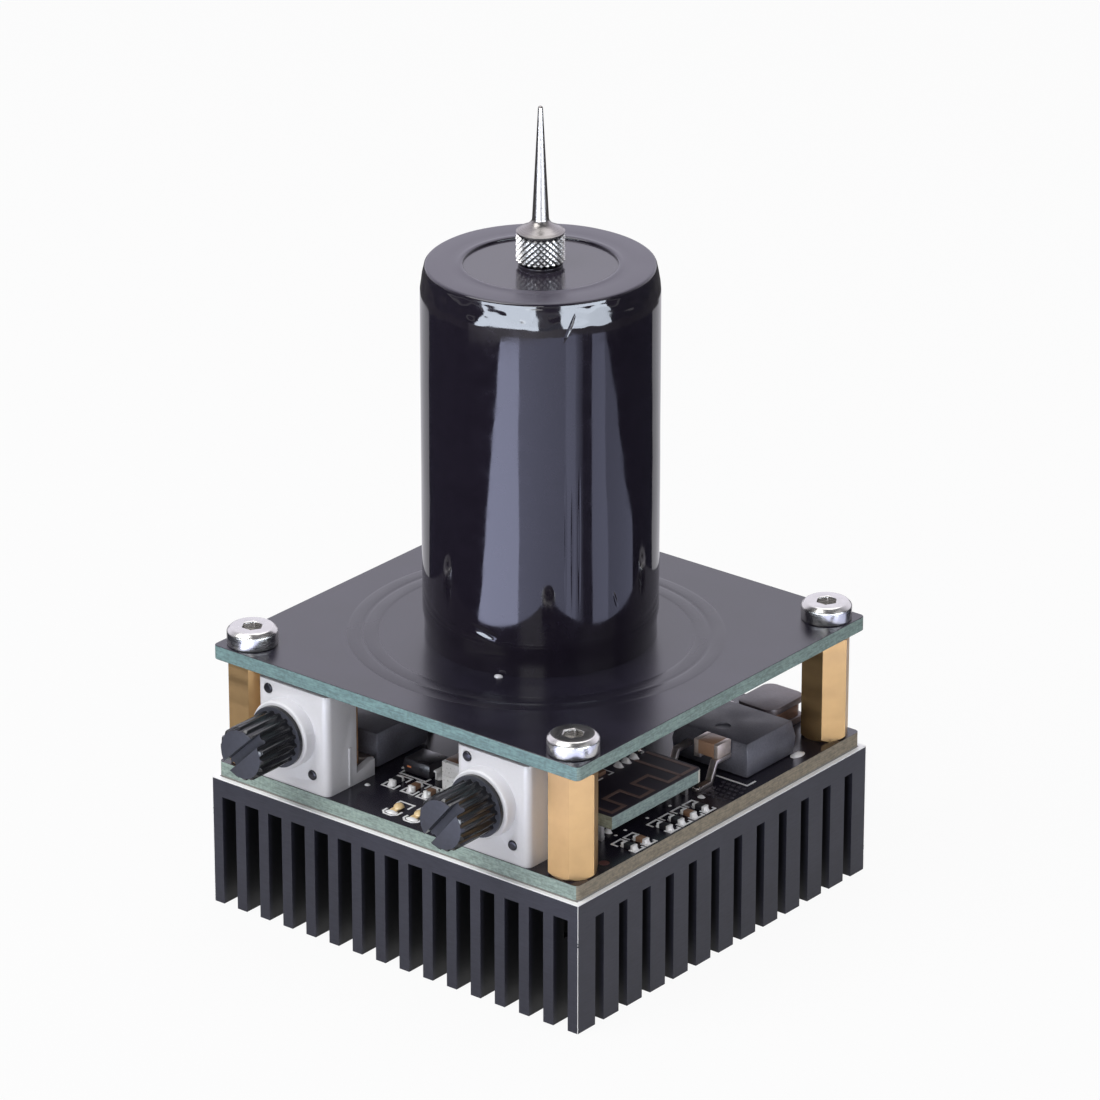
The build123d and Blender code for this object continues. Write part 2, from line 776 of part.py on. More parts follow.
def transistor(x, y, turn):
    """The moulded case, and the copper tab with the two bent leads and the cut middle one."""
    width, length, height = transistor_body
    base = driver_board_top + transistor_lift
    seam = base + lead_exit_height
    lower = loft([Pos(0, 0, base) * Rectangle(width - transistor_draft, length - transistor_draft),
                  Pos(0, 0, seam) * Rectangle(width, length)])
    top_size = (width - 2 * transistor_draft, length - 2 * transistor_draft)
    upper = loft([Pos(0, 0, seam) * Rectangle(width, length),
                  Pos(0, 0, base + height) * Rectangle(*top_size)])
    tab_back = length / 2 + tab_reach
    tab_front = -length / 2 + 2 * transistor_draft
    tab = block((-tab_width / 2, tab_width / 2), (tab_front, tab_back),
                (driver_board_top, driver_board_top + tab_thickness))
    tab = chamfer(tab.edges().filter_by(Axis.Z).group_by(Axis.Y)[-1], min(tab_corner, tab_reach))
    case = lower + upper - tab
    exit_y = -length / 2
    shoulder_y = exit_y - lead_shoulder
    foot_y = shoulder_y - lead_drop_run
    thick = lead_thickness
    outline = [(exit_y, seam), (exit_y, seam + thick), (shoulder_y, seam + thick),
               (foot_y, driver_board_top + thick), (foot_y - lead_foot, driver_board_top + thick),
               (foot_y - lead_foot, driver_board_top), (foot_y + thick / 2, driver_board_top),
               (shoulder_y + thick / 2, seam)]
    metal = [tab]
    for side in (-1, 1):
        start = side * lead_pitch / 2 - lead_width / 2
        face = make_face(Polyline(*[(start, run, level) for run, level in outline], close=True))
        metal.append(extrude(face, amount=lead_width, dir=(1, 0, 0)))
    metal.append(block((-lead_width / 2, lead_width / 2), (exit_y - middle_lead, exit_y),
                       (seam, seam + thick)))
    place = Pos(x, y, 0) * Rot(0, 0, turn)
    return place * case, group([place * piece for piece in metal])


def chip_part(x, y, bottom, size, end, along):
    """A chip part: its body and its two metal ends, lying along X or Y."""
    length, width, height = size if along == "x" else (size[1], size[0], size[2])
    if along == "x":
        body = Pos(x, y, bottom + height / 2) * Box(length - 2 * end, width, height)
        ends = [Pos(x + side * (length - end) / 2, y, bottom + height / 2) * Box(end, width, height)
                for side in (-1, 1)]
    else:
        body = Pos(x, y, bottom + height / 2) * Box(length, width - 2 * end, height)
        ends = [Pos(x, y + side * (width - end) / 2, bottom + height / 2) * Box(length, end, height)
                for side in (-1, 1)]
    return body, ends


def snubber_capacitor():
    """Lies across the right transistor's middle and right leads, against its case."""
    length, width, height = snubber_size
    x = right_transistor_x + lead_pitch / 4
    case_front = right_transistor_y - transistor_body[1] / 2
    y = case_front - width / 2
    bottom = driver_board_top + transistor_lift + lead_exit_height + lead_thickness
    return chip_part(x, y, bottom, snubber_size, cap_end, "x")


def bulk_capacitors():
    """Two alike, one on top of the other, with their ends to the front and back."""
    bodies = []
    ends = []
    for level in range(2):
        bottom = driver_board_top + level * (bulk_size[2] + bulk_stack_gap)
        size = (bulk_size[1], bulk_size[0], bulk_size[2])
        body, caps = chip_part(bulk_x, bulk_y, bottom, size, cap_end, "y")
        bodies.append(body)
        ends += caps
    return group(bodies), group(ends)


def rectifier():
    width, length, height = rectifier_body
    base = driver_board_top + rectifier_lift
    middle = base + height / 2
    small = (width - 2 * rectifier_draft, length - 2 * rectifier_draft)
    case = loft([Pos(0, 0, base) * Rectangle(*small), Pos(0, 0, middle) * Rectangle(width, length)])
    case += loft([Pos(0, 0, middle) * Rectangle(width, length), Pos(0, 0, base + height) * Rectangle(*small)])
    half = width / 2
    reach = half + rectifier_lead_reach
    thick = rectifier_lead_thickness
    outline = [(half, middle - thick / 2), (half, middle + thick / 2), (reach - thick, middle + thick / 2),
               (reach, middle - thick / 2), (reach, driver_board_top), (reach - thick, driver_board_top),
               (reach - thick, middle - thick / 2)]
    leads = []
    for side in (-1, 1):
        face = make_face(Polyline(*[(side * run, -rectifier_lead_width / 2, level) for run, level in outline],
                                  close=True))
        leads.append(extrude(face, amount=rectifier_lead_width, dir=(0, 1, 0)))
    place = Pos(rectifier_x, rectifier_y, 0)
    return place * case, group([place * lead for lead in leads])


def inductor():
    """A drum of ferrite with two rounded flanges, and the wire wound between them."""
    width, length, height = inductor_size
    flange = RectangleRounded(width, length, inductor_corner)
    core = extrude(Pos(0, 0, driver_board_top) * flange, inductor_flange)
    core += extrude(Pos(0, 0, driver_board_top + height - inductor_flange) * flange, inductor_flange)
    core += rod(0, 0, driver_board_top, driver_board_top + height, inductor_neck_radius)
    inset = 2 * inductor_winding_inset
    gap = inductor_winding_gap
    wire = extrude(Pos(0, 0, driver_board_top + inductor_flange + gap)
                   * RectangleRounded(width - inset, length - inset, inductor_corner),
                   height - 2 * inductor_flange - 2 * gap)
    wire -= rod(0, 0, driver_board_top, driver_board_top + height, inductor_neck_radius + gap)
    place = Pos(inductor_x, inductor_y, 0)
    return place * core, place * wire


def small_parts():
    """Chip parts in a row at the right edge and in a bunch between the two controls."""
    row_x = board_edge - right_row_inset
    capacitors = [(row_x, y, "x") for y in right_row_capacitors]
    capacitors += [(x, inset - board_edge, "y") for x, inset in front_capacitors]
    resistors = [(row_x, y, "x") for y in right_row_resistors]
    resistors += [(x, inset - board_edge, "y") for x, inset in front_resistors]
    ends = []
    bodies = {"capacitors": [], "resistors": []}
    for kind, places in (("capacitors", capacitors), ("resistors", resistors)):
        for x, y, along in places:
            body, caps = chip_part(x, y, driver_board_top, small_size, small_end, along)
            bodies[kind].append(body)
            ends += caps
    lamp_z = driver_board_top + lamp_size[2] / 2
    lamps = [Pos(x, inset - board_edge, lamp_z) * Box(*lamp_size) for x, inset in lamp_places]
    return {"chip_capacitors": group(bodies["capacitors"]),
            "chip_resistors": group(bodies["resistors"]),
            "chip_end_caps": group(ends),
            "status_lamps": group(lamps)}


def power_jack():
    """A barrel socket that opens to the back: housing, centre pin, and spring with terminals."""
    half = jack_width / 2
    back = jack_front_y - jack_length
    axis_z = driver_board_top + jack_bore_height
    shoulder = jack_front_y - jack_front
    housing = block((-half, half), (shoulder, jack_front_y), (driver_board_top, driver_board_top + jack_height))
    housing += block((-jack_body_radius, jack_body_radius), (back, shoulder), (driver_board_top, axis_z))
    barrel = Pos(0, (back + shoulder) / 2, axis_z) * Rot(90, 0, 0) * Cylinder(jack_body_radius, shoulder - back)
    housing += barrel
    bore_middle = jack_front_y + 0.5 - (jack_bore_depth + 0.5) / 2
    housing -= (Pos(0, bore_middle, axis_z) * Rot(90, 0, 0)
                * Cylinder(jack_bore_radius, jack_bore_depth + 0.5))
    pin_front = jack_front_y - jack_pin_recess
    pin = Pos(0, (back + pin_front) / 2, axis_z) * Rot(90, 0, 0) * Cylinder(jack_pin_radius, pin_front - back)
    pin = chamfer(pin.edges().group_by(Axis.Y)[-1], jack_pin_radius * 0.4)
    housing -= Pos(0, back, axis_z) * Rot(90, 0, 0) * Cylinder(jack_pin_radius + push_fit, jack_length)
    place = Pos(jack_x, 0, 0)
    contacts = []
    tail = driver_board_bottom + pin_short_of_board
    thin = jack_terminal_thickness / 2
    wide = jack_terminal_width / 2
    for x, y, direction in jack_terminal_places():
        reach_x, reach_y = (wide, thin) if direction == "x" else (thin, wide)
        contacts.append(block((x - reach_x, x + reach_x), (y - reach_y, y + reach_y),
                              (tail, driver_board_top)))
    spring_z = axis_z - math.sqrt(jack_bore_radius ** 2 - (wide / 2) ** 2)
    spring_back = jack_front_y - jack_bore_depth
    spring = block((-wide / 2, wide / 2), (spring_back, spring_back + jack_spring_length),
                   (spring_z, spring_z + jack_terminal_thickness))
    contacts.append(place * spring)
    return place * housing, place * pin, group(contacts)


def all_nodes():
    nodes = {"heat_sink": heat_sink(),
             "thermal_pad": thermal_pad(),
             "driver_board": driver_board(),
             "coil_board": coil_board(),
             "primary_winding": primary_winding(),
             "cap_screws": group([cap_screw(x, y) for x, y in corner_places]),
             "coil_former": coil_former(),
             "coil_base_plug": coil_base_plug(),
             "coil_top_cap": coil_top_cap(),
             "secondary_winding": secondary_winding(),
             "secondary_leads": secondary_leads(),
             "heat_shrink_sleeve": heat_shrink_sleeve(),
             "needle_insert": needle_insert(),
             "discharge_needle": discharge_needle(),
             "radio_board": radio_board(),
             "radio_pins": radio_pins(),
             "radio_processor": radio_processor(),
             "radio_crystal": radio_crystal()}
    for name, (x, y) in zip(corner_names, corner_places):
        nodes["spacer_" + name] = spacer(x, y)
    nodes.update(control("left_control_", left_shaft_x, left_rest_turn))
    nodes.update(control("right_control_", right_shaft_x, right_rest_turn))
    chips = {"radio_memory": (module_center_x + memory_x, module_center_y + memory_y, module_top),
             "gate_driver": (gate_driver_x, gate_driver_y, driver_board_top),
             "regulator": (regulator_x, regulator_y, driver_board_top)}
    leads = []
    for name, place in chips.items():
        nodes[name] = chip_case(*place)
        leads += chip_leads(*place)
    nodes["chip_leads"] = group(leads)
    right = transistor(right_transistor_x, right_transistor_y, 0)
    nodes["right_transistor_case"], nodes["right_transistor_metal"] = right
    left = transistor(left_transistor_x, left_transistor_y, 180)
    nodes["left_transistor_case"], nodes["left_transistor_metal"] = left
    snubber, snubber_ends = snubber_capacitor()
    nodes["snubber_capacitor"] = snubber
    nodes["snubber_end_caps"] = group(snubber_ends)
    nodes["bulk_capacitors"], nodes["bulk_end_caps"] = bulk_capacitors()
    nodes["rectifier_case"], nodes["rectifier_leads"] = rectifier()
    nodes["inductor_core"], nodes["inductor_winding"] = inductor()
    nodes.update(small_parts())
    nodes["jack_housing"], nodes["jack_pin"], nodes["jack_contacts"] = power_jack()
    return nodes


os.makedirs("parts", exist_ok=True)
for node, shape in all_nodes().items():
    export_step(shape, f"parts/{node}.step")
    print(f"{node:28s} {len(shape.solids())} solids {shape.volume:9.2f} mm3")
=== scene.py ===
import bpy
import math
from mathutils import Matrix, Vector


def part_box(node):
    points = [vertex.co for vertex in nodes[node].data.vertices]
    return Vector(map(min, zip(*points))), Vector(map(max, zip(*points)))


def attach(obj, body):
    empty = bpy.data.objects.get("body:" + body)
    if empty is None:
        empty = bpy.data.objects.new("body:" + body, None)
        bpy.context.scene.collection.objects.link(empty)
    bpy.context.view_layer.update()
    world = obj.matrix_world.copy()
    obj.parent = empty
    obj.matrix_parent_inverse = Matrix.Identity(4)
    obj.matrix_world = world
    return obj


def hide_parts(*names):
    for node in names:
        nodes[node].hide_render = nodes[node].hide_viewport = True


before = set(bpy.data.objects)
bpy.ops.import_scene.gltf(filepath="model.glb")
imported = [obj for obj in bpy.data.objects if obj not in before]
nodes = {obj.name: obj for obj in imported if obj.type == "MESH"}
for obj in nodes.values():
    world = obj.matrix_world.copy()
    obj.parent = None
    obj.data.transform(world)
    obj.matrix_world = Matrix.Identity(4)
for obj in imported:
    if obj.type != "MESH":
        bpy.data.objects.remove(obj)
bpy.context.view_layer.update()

mm = 0.001


def lowOf(node):
    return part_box(node)[0] / mm


def highOf(node):
    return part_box(node)[1] / mm


def middleOf(node):
    return (lowOf(node) + highOf(node)) / 2


driverTop = highOf("driver_board").z
coilBoardTop = highOf("coil_board").z
radioTop = highOf("radio_board").z


# picking and editing

def pickNothing():
    if bpy.context.object and bpy.context.object.mode != "OBJECT":
        bpy.ops.object.mode_set(mode="OBJECT")
    bpy.ops.object.select_all(action="DESELECT")


def pickOne(piece):
    pickNothing()
    piece.select_set(True)
    bpy.context.view_layer.objects.active = piece


def editAll(piece):
    pickOne(piece)
    bpy.ops.object.mode_set(mode="EDIT")
    bpy.ops.mesh.select_mode(type="VERT")
    bpy.ops.mesh.select_all(action="SELECT")


def stopEditing():
    bpy.ops.object.mode_set(mode="OBJECT")


def editSome(piece, test):  # test looks at a vertex's place in millimetres
    editAll(piece)
    bpy.ops.mesh.select_all(action="DESELECT")
    stopEditing()
    for vertex in piece.data.vertices:
        vertex.select = bool(test(vertex.co / mm))
    bpy.ops.object.mode_set(mode="EDIT")


def applyPlace(piece):
    pickOne(piece)
    bpy.ops.object.transform_apply(location=True, rotation=True, scale=True)


def smooth(piece, angle=32):
    pickOne(piece)
    bpy.ops.object.shade_smooth_by_angle(angle=math.radians(angle))


def roundEdges(piece, width, steps=2, angle=30):
    pickOne(piece)
    bevel = piece.modifiers.new("round", "BEVEL")
    bevel.width = width * mm
    bevel.segments = steps
    bevel.limit_method = "ANGLE"
    bevel.angle_limit = math.radians(angle)
    bpy.ops.object.modifier_apply(modifier=bevel.name)


def joinAll(pieces, name):
    pickNothing()
    for piece in pieces:
        piece.select_set(True)
    bpy.context.view_layer.objects.active = pieces[0]
    if len(pieces) > 1:
        bpy.ops.object.join()
    whole = bpy.context.object
    whole.name = name
    whole.data.name = name
    return whole


def copyOf(piece, move=(0, 0, 0), turn=0.0, size=(1, 1, 1)):
    twin = piece.copy()
    twin.data = piece.data.copy()
    bpy.context.scene.collection.objects.link(twin)
    twin.rotation_euler = (0, 0, math.radians(turn))
    twin.scale = size
    twin.location = [c * mm for c in move]
    applyPlace(twin)
    return twin


def camel(node):
    first, *rest = node.split("_")
    return first + "".join(word.capitalize() for word in rest)


def copyOfNode(node, name=None):
    piece = nodes[node].copy()
    piece.data = nodes[node].data.copy()
    piece.name = name or camel(node)
    for key in [k for k in piece.keys() if k.startswith("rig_")]:
        del piece[key]
    bpy.context.scene.collection.objects.link(piece)
    piece.parent = None
    editAll(piece)
    bpy.ops.mesh.customdata_custom_splitnormals_clear()
    bpy.ops.mesh.remove_doubles(threshold=2e-6)
    bpy.ops.mesh.dissolve_limited(angle_limit=math.radians(0.4))
    stopEditing()
    return piece


def boxAt(place, size):
    pickNothing()
    bpy.ops.mesh.primitive_cube_add(size=1.0)
    piece = bpy.context.object
    editAll(piece)
    bpy.ops.transform.resize(value=[c * mm for c in size])
    bpy.ops.transform.translate(value=[c * mm for c in place])
    stopEditing()
    return piece


def rodAt(place, radius, length, steps, tilt=0):
    pickNothing()
    bpy.ops.mesh.primitive_cylinder_add(vertices=steps, radius=radius * mm, depth=length * mm,
                                        rotation=(math.radians(tilt), 0, 0), location=[c * mm for c in place])
    piece = bpy.context.object
    applyPlace(piece)
    return piece


def halfBall(steps, rings, radius):  # flat side down
    pickNothing()
    bpy.ops.mesh.primitive_uv_sphere_add(segments=steps, ring_count=rings, radius=radius * mm)
    piece = bpy.context.object
    editAll(piece)
    bpy.ops.mesh.bisect(plane_co=(0, 0, 0), plane_no=(0, 0, 1), clear_inner=True, use_fill=True)
    stopEditing()
    return piece


def cutWith(piece, cutter, kind="DIFFERENCE"):
    pickOne(piece)
    cut = piece.modifiers.new("cut", "BOOLEAN")
    cut.operation = kind
    cut.solver = "EXACT"
    cut.object = cutter
    bpy.ops.object.modifier_apply(modifier=cut.name)
    bpy.data.objects.remove(cutter)


def settle(piece, material, body="base", stands=()):
    piece.data.materials.clear()
    piece.data.materials.append(material)
    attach(piece, body)
    if stands:
        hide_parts(*stands)


def dressed(node, width, material, body="base", steps=2):
    piece = copyOfNode(node)
    if width:
        roundEdges(piece, width, steps)
    smooth(piece)
    settle(piece, material, body, [node])


def paint(node, material):
    nodes[node].data.materials.clear()
    nodes[node].data.materials.append(material)


def pointAt(place):  # one vertex to extrude from, left in edit mode
    pickNothing()
    bpy.ops.mesh.primitive_plane_add(size=0.001)
    piece = bpy.context.object
    editAll(piece)
    bpy.ops.mesh.merge(type="CENTER")
    bpy.ops.mesh.select_all(action="SELECT")
    bpy.ops.transform.translate(value=[c * mm for c in place])
    return piece


def drawOn(points):  # extrudes the picked vertex along the points
    for last, point in zip(points, points[1:]):
        step = [(b - a) * mm for a, b in zip(last, point)]
        bpy.ops.mesh.extrude_region_move(TRANSFORM_OT_translate={"value": step})


def turned(name, points, steps=96):  # a profile of (radius, height) spun about the coil's axis
    line = [(radius, 0, height) for radius, height in points]
    piece = pointAt(line[0])
    piece.name = name
    drawOn(line)
    bpy.ops.mesh.select_all(action="SELECT")
    bpy.ops.mesh.spin(steps=steps, angle=2 * math.pi, center=(0, 0, 0), axis=(0, 0, 1), use_auto_merge=True)
    bpy.ops.mesh.select_all(action="SELECT")
    bpy.ops.mesh.remove_doubles(threshold=2e-6)
    bpy.ops.mesh.normals_make_consistent(inside=False)
    stopEditing()
    return piece


def ribbon(points, width, level, high):  # a flat line of even width, mitred at its corners
    line = [(x, y, level) for x, y in points]
    piece = pointAt(line[0])
    drawOn(line)
    bpy.ops.mesh.select_all(action="SELECT")
    bpy.ops.mesh.remove_doubles(threshold=2e-6)
    bpy.ops.mesh.select_all(action="SELECT")
    bpy.ops.mesh.extrude_region_move(TRANSFORM_OT_translate={"value": (0, 0, high * mm)})
    stopEditing()
    pickOne(piece)
    wall = piece.modifiers.new("wide", "SOLIDIFY")
    wall.thickness = width * mm
    wall.offset = 0
    wall.use_even_offset = True
    bpy.ops.object.modifier_apply(modifier=wall.name)
    editAll(piece)
    bpy.ops.mesh.normals_make_consistent(inside=False)
    stopEditing()
    return piece


# materials

current = {}  # the node tree that the functions below add to


def openTree(owner, bare=False):
    owner.use_nodes = True
    current["tree"] = owner.node_tree
    if bare:
        owner.node_tree.nodes.clear()


def put(kind, settings=None, **inputs):
    made = current["tree"].nodes.new(kind)
    for key, value in (settings or {}).items():
        setattr(made, key, value)
    for key, value in inputs.items():
        number = key[1:]
        socket = made.inputs[int(number) if key[0] == "n" and number.isdigit() else key.replace("_", " ")]
        if isinstance(value, bpy.types.NodeSocket):
            current["tree"].links.new(value, socket)
        else:
            socket.default_value = value
    return made


def feed(shader, name, value):
    current["tree"].links.new(value, shader.inputs[name])


def startMaterial(name, colour, rough, metal=0.0):
    material = bpy.data.materials.new(name)
    openTree(material)
    shader = material.node_tree.nodes["Principled BSDF"]
    shader.inputs["Base Color"].default_value = (*colour, 1)
    shader.inputs["Roughness"].default_value = rough
    shader.inputs["Metallic"].default_value = metal
    place = put("ShaderNodeTexCoord").outputs["Object"]
    return material, shader, place


def stretched(place, scale):
    return put("ShaderNodeMapping", Vector=place, Scale=scale).outputs["Vector"]


def noiseOf(place, scale, detail=3.0, rough=0.55):
    return put("ShaderNodeTexNoise", Vector=place, Scale=scale, Detail=detail, Roughness=rough).outputs["Fac"]


def blendColours(factor, low, high):
    mix = put("ShaderNodeMix", {"data_type": "RGBA"}, Factor=factor)
    sockets = [s for s in mix.inputs if s.type == "RGBA"]
    for socket, value in zip(sockets, (low, high)):
        if isinstance(value, bpy.types.NodeSocket):
            current["tree"].links.new(value, socket)
        else:
            socket.default_value = (*value, 1)
    return [s for s in mix.outputs if s.type == "RGBA"][0]


def spread(value, low, high, toLow=0.0, toHigh=1.0):
    return put("ShaderNodeMapRange", n0=value, n1=low, n2=high, n3=toLow, n4=toHigh).outputs[0]


def mathOf(kind, a, b=0.0):
    return put("ShaderNodeMath", {"operation": kind}, n0=a, n1=b).outputs[0]


def over(value, limit):
    return mathOf("GREATER_THAN", value, limit)


def both(a, b):
    return mathOf("MULTIPLY", a, b)


def either(a, b):
    return mathOf("MAXIMUM", a, b)


def splitPlace(place):
    return put("ShaderNodeSeparateXYZ", Vector=place).outputs


def splitNormal():
    return splitPlace(put("ShaderNodeNewGeometry").outputs["Normal"])


def sizeOf(value):
    return mathOf("ABSOLUTE", value)


def shadesOf(colour, low, high):
    return [c * low for c in colour], [min(1.0, c * high) for c in colour]


def bumpOf(shader, height, strength, distance):
    bump = put("ShaderNodeBump", Height=height, Strength=strength, Distance=distance * mm)
    feed(shader, "Normal", bump.outputs["Normal"])


def plainFinish(name, colour, rough, metal=0.0, grain=2500.0, tone=0.12, roughSpread=0.08, bump=0.15, stretch=None):
    material, shader, place = startMaterial(name, colour, rough, metal)
    where = stretched(place, stretch) if stretch else place
    grains = noiseOf(where, grain)
    clouds = noiseOf(place, grain / 14.0, 2.0)
    low, high = shadesOf(colour, 1 - tone, 1 + tone)
    mixed = mathOf("ADD", both(grains, 0.5), both(clouds, 0.5))
    feed(shader, "Base Color", blendColours(spread(mixed, 0.3, 0.7), low, high))
    feed(shader, "Roughness",
         spread(clouds, 0.3, 0.7, max(0.0, rough - roughSpread), rough + roughSpread))
    bumpOf(shader, grains, bump, 0.02)
    return material


def anodisedFinish():
    values = {"colour": (0.018, 0.018, 0.030), "pale": (0.030, 0.030, 0.046), "deep": (0.005, 0.005, 0.007),
              "bare": (0.95, 0.95, 0.95), "bareAndHighlightMetal": 0.10, "rough": 0.42, "shine": 0.37, "skin": 0.15, "fade": 0.5,
              "ledge": 0.56, "rim": 0.13, "rimWorn": 0.36, "corner": 0.05, "cornerWearAndHighlight": 0.50}
    half, top = highOf("heat_sink").x, highOf("heat_sink").z
    material, shader, place = startMaterial("anodised", values["colour"], values["rough"])
    lines = noiseOf(stretched(place, (900, 900, 9000)), 1.0, 2.0)
    clouds = noiseOf(place, 160.0)
    streaks = spread(mathOf("ADD", lines, clouds), 0.7, 1.3)
    tone = blendColours(streaks, values["colour"], values["pale"])
    parts = splitPlace(place)
    x, y = sizeOf(parts[0]), sizeOf(parts[1])
    outer = either(x, y)
    # Painted shade: faces lying deeper than skin plus fade inside the outer faces, in the fin slots and hollows, are
    # blended to a near-black colour.
    skin = spread(outer, (half - values["skin"] - values["fade"]) * mm, (half - values["skin"]) * mm)
    tone = blendColours(skin, values["deep"], tone)
    patches = mathOf("ADD", clouds, both(lines, 0.2))
    # Bare metal and painted highlight: the top rim beside the ledge and the upright corners are painted near-white in
    # patches, partly bare machined aluminium, partly a painted highlight along the edges.
    rim = both(over(parts[2], (top - values["rim"]) * mm), over(outer, (half - values["ledge"]) * mm))
    rim = both(rim, over(patches, values["rimWorn"]))
    corner = (half - values["corner"]) * mm
    corner = both(over(x, corner), over(y, corner))
    bare = either(rim, both(corner, over(patches, values["cornerWearAndHighlight"])))
    feed(shader, "Base Color", blendColours(bare, tone, values["bare"]))
    feed(shader, "Metallic", both(bare, values["bareAndHighlightMetal"]))
    shader.inputs["Specular IOR Level"].default_value = values["shine"]
    bumpOf(shader, lines, 0.12, 0.02)
    return material


def boardFinish(name, node, front, side, colour=(0.0105, 0.0092, 0.0160), rough=0.26, plated=False):
    values = {"dark": 0.72, "bright": 1.30, "wave": 1.5, "edgeRough": 0.6, "paleCornerWide": 0.45, "paleCornerLong": 0.75,
              "paleCornerTone": (0.80, 0.78, 0.68)}
    material, shader, place = startMaterial(name, colour, rough)
    normal = splitNormal()
    upright = mathOf("LESS_THAN", sizeOf(normal[2]), 0.5)
    sideways = over(sizeOf(normal[0]), 0.6)
    fibres = noiseOf(stretched(place, (700, 700, 7000)), 1.0, 3.0, 0.7)
    knots = noiseOf(place, 2600.0, 1.0)
    weave = spread(mathOf("ADD", fibres, both(knots, 0.5)), 0.6, 0.95)
    # Painted light: edge faces turned along x take the side tone and the other edge faces the front tone; the
    # difference between the two stands for how light falls on each side.
    frontGlass, sideGlass = (blendColours(weave, *shadesOf(tone, values["dark"], values["bright"]))
                             for tone in (front, side))
    glass = blendColours(sideways, frontGlass, sideGlass)
    waves = spread(noiseOf(place, 240.0, 2.0), 0.3, 0.7)
    mask = blendColours(waves, *shadesOf(colour, 1.0, values["wave"]))
    if plated:  # the rounded corner of the radio module painted pale: partly its plated edge, partly a painted highlight
        parts = splitPlace(place)
        corner = both(over(parts[0], (highOf(node).x - values["paleCornerWide"]) * mm),
                      over(parts[1], (highOf(node).y - values["paleCornerLong"]) * mm))
        glass = blendColours(corner, glass, values["paleCornerTone"])
    feed(shader, "Base Color", blendColours(upright, mask, glass))
    feed(shader, "Roughness", spread(upright, 0.0, 1.0, rough, values["edgeRough"]))
    fine = noiseOf(place, 1500.0, 2.0)
    height = mathOf("ADD", both(fine, 0.3), both(fibres, upright))
    bumpOf(shader, height, 0.10, 0.03)
    return material


def turnedMetal(name, colour, rough, ring, strength, tone=0.06, knurl=None):
    material, shader, place = startMaterial(name, colour, rough, 1.0)
    rings = noiseOf(stretched(place, (40, 40, ring)), 1.0, 2.0)
    clouds = noiseOf(place, 500.0, 2.0)
    shade = blendColours(spread(clouds, 0.3, 0.7), *shadesOf(colour, 1 - tone, 1 + tone))
    if knurl:  # painted highlight on the tooth tips and painted shade in the grooves between them: (root radius, tip radius, from height, to height, groove colour, tooth colour)
        root, tip, bottom, top, grooveShade, tooth = knurl
        parts = splitPlace(place)
        across = mathOf("ADD", both(parts[0], parts[0]), both(parts[1], parts[1]))
        outer = spread(mathOf("SQRT", across), root * mm, tip * mm)
        band = both(over(parts[2], bottom * mm), mathOf("LESS_THAN", parts[2], top * mm))
        shade = blendColours(band, shade, blendColours(outer, grooveShade, tooth))
    feed(shader, "Base Color", shade)
    feed(shader, "Roughness", spread(rings, 0.25, 0.75, max(0.02, rough - 0.07), rough + 0.07))
    bumpOf(shader, rings, strength, 0.012)
    return material


cameraValues = {"place": (0.3872, -0.4809, 0.3031), "aim": (0.00089, 0.00046, 0.03954), "lens": 207.2, "sensor": 36.0}


def angleOf(right):  # from degrees right of the camera's side to an angle about the coil's axis
    return math.atan2(cameraValues["place"][1], cameraValues["place"][0]) + math.radians(right)


def sleeveFinish():
    values = {"colour": (0.0098, 0.0078, 0.0138), "rough": 0.045, "lip": (0.038, 0.033, 0.050), "lipRough": 0.34,
              "lipBand": 1.2, "waviness": 90.0}
    folds = [  # degrees right of the camera's side, height, half width, half height, depth, lean
        (-28.5, 34.9, 2.2, 0.60, -0.55, -14), (-27.5, 34.1, 2.2, 0.45, 0.30, -14), (-24.0, 32.4, 2.4, 0.40, -0.25, 6),
        (11.8, 46.0, 0.16, 8.0, -0.13, 0), (15.0, 44.5, 0.16, 9.0, -0.16, 0), (18.6, 45.5, 0.20, 9.5, -0.16, 0),
        (38.4, 38.0, 0.28, 1.5, -0.45, 16), (14.0, 69.4, 0.22, 1.9, -0.6, -24), (41.0, 33.4, 1.6, 0.5, -0.3, 10),
    ]
    top = highOf("heat_shrink_sleeve").z
    material, shader, place = startMaterial("heatShrink", values["colour"], values["rough"])
    parts = splitPlace(place)
    facingUp = spread(splitNormal()[2], 0.55, 0.85)
    lip = both(over(parts[2], (top - values["lipBand"]) * mm), facingUp)
    broad = noiseOf(stretched(place, (1, 1, 0.35)), values["waviness"], 1.0)
    pores = noiseOf(place, 2600.0, 1.0)
    film = noiseOf(place, 600.0, 2.0)
    gloss = spread(film, 0.35, 0.75, values["rough"], values["rough"] + 0.06)
    feed(shader, "Roughness", either(gloss, both(lip, values["lipRough"])))
    shade = blendColours(film, *shadesOf(values["colour"], 1.0, 1.6))
    feed(shader, "Base Color", blendColours(lip, shade, values["lip"]))
    height = mathOf("ADD", broad, both(pores, 0.004))
    radius = highOf("heat_shrink_sleeve").x
    for angle, level, wide, tall, depth, lean in folds:
        turn = angleOf(angle)
        spot = (radius * math.cos(turn) * mm, radius * math.sin(turn) * mm, level * mm)
        local = put("ShaderNodeMapping", {"vector_type": "TEXTURE"}, Vector=place, Location=spot,
                    Rotation=(math.radians(lean), 0, turn), Scale=(1.2 * mm, wide * mm, tall * mm)).outputs["Vector"]
        away = put("ShaderNodeVectorMath", {"operation": "LENGTH"}, n0=local).outputs["Value"]
        dent = put("ShaderNodeMapRange", {"interpolation_type": "SMOOTHSTEP"},
                   n0=away, n1=0.0, n2=1.0, n3=depth, n4=0.0)
        height = mathOf("ADD", height, dent.outputs[0])
    bumpOf(shader, height, 0.6, 0.25)
    return material


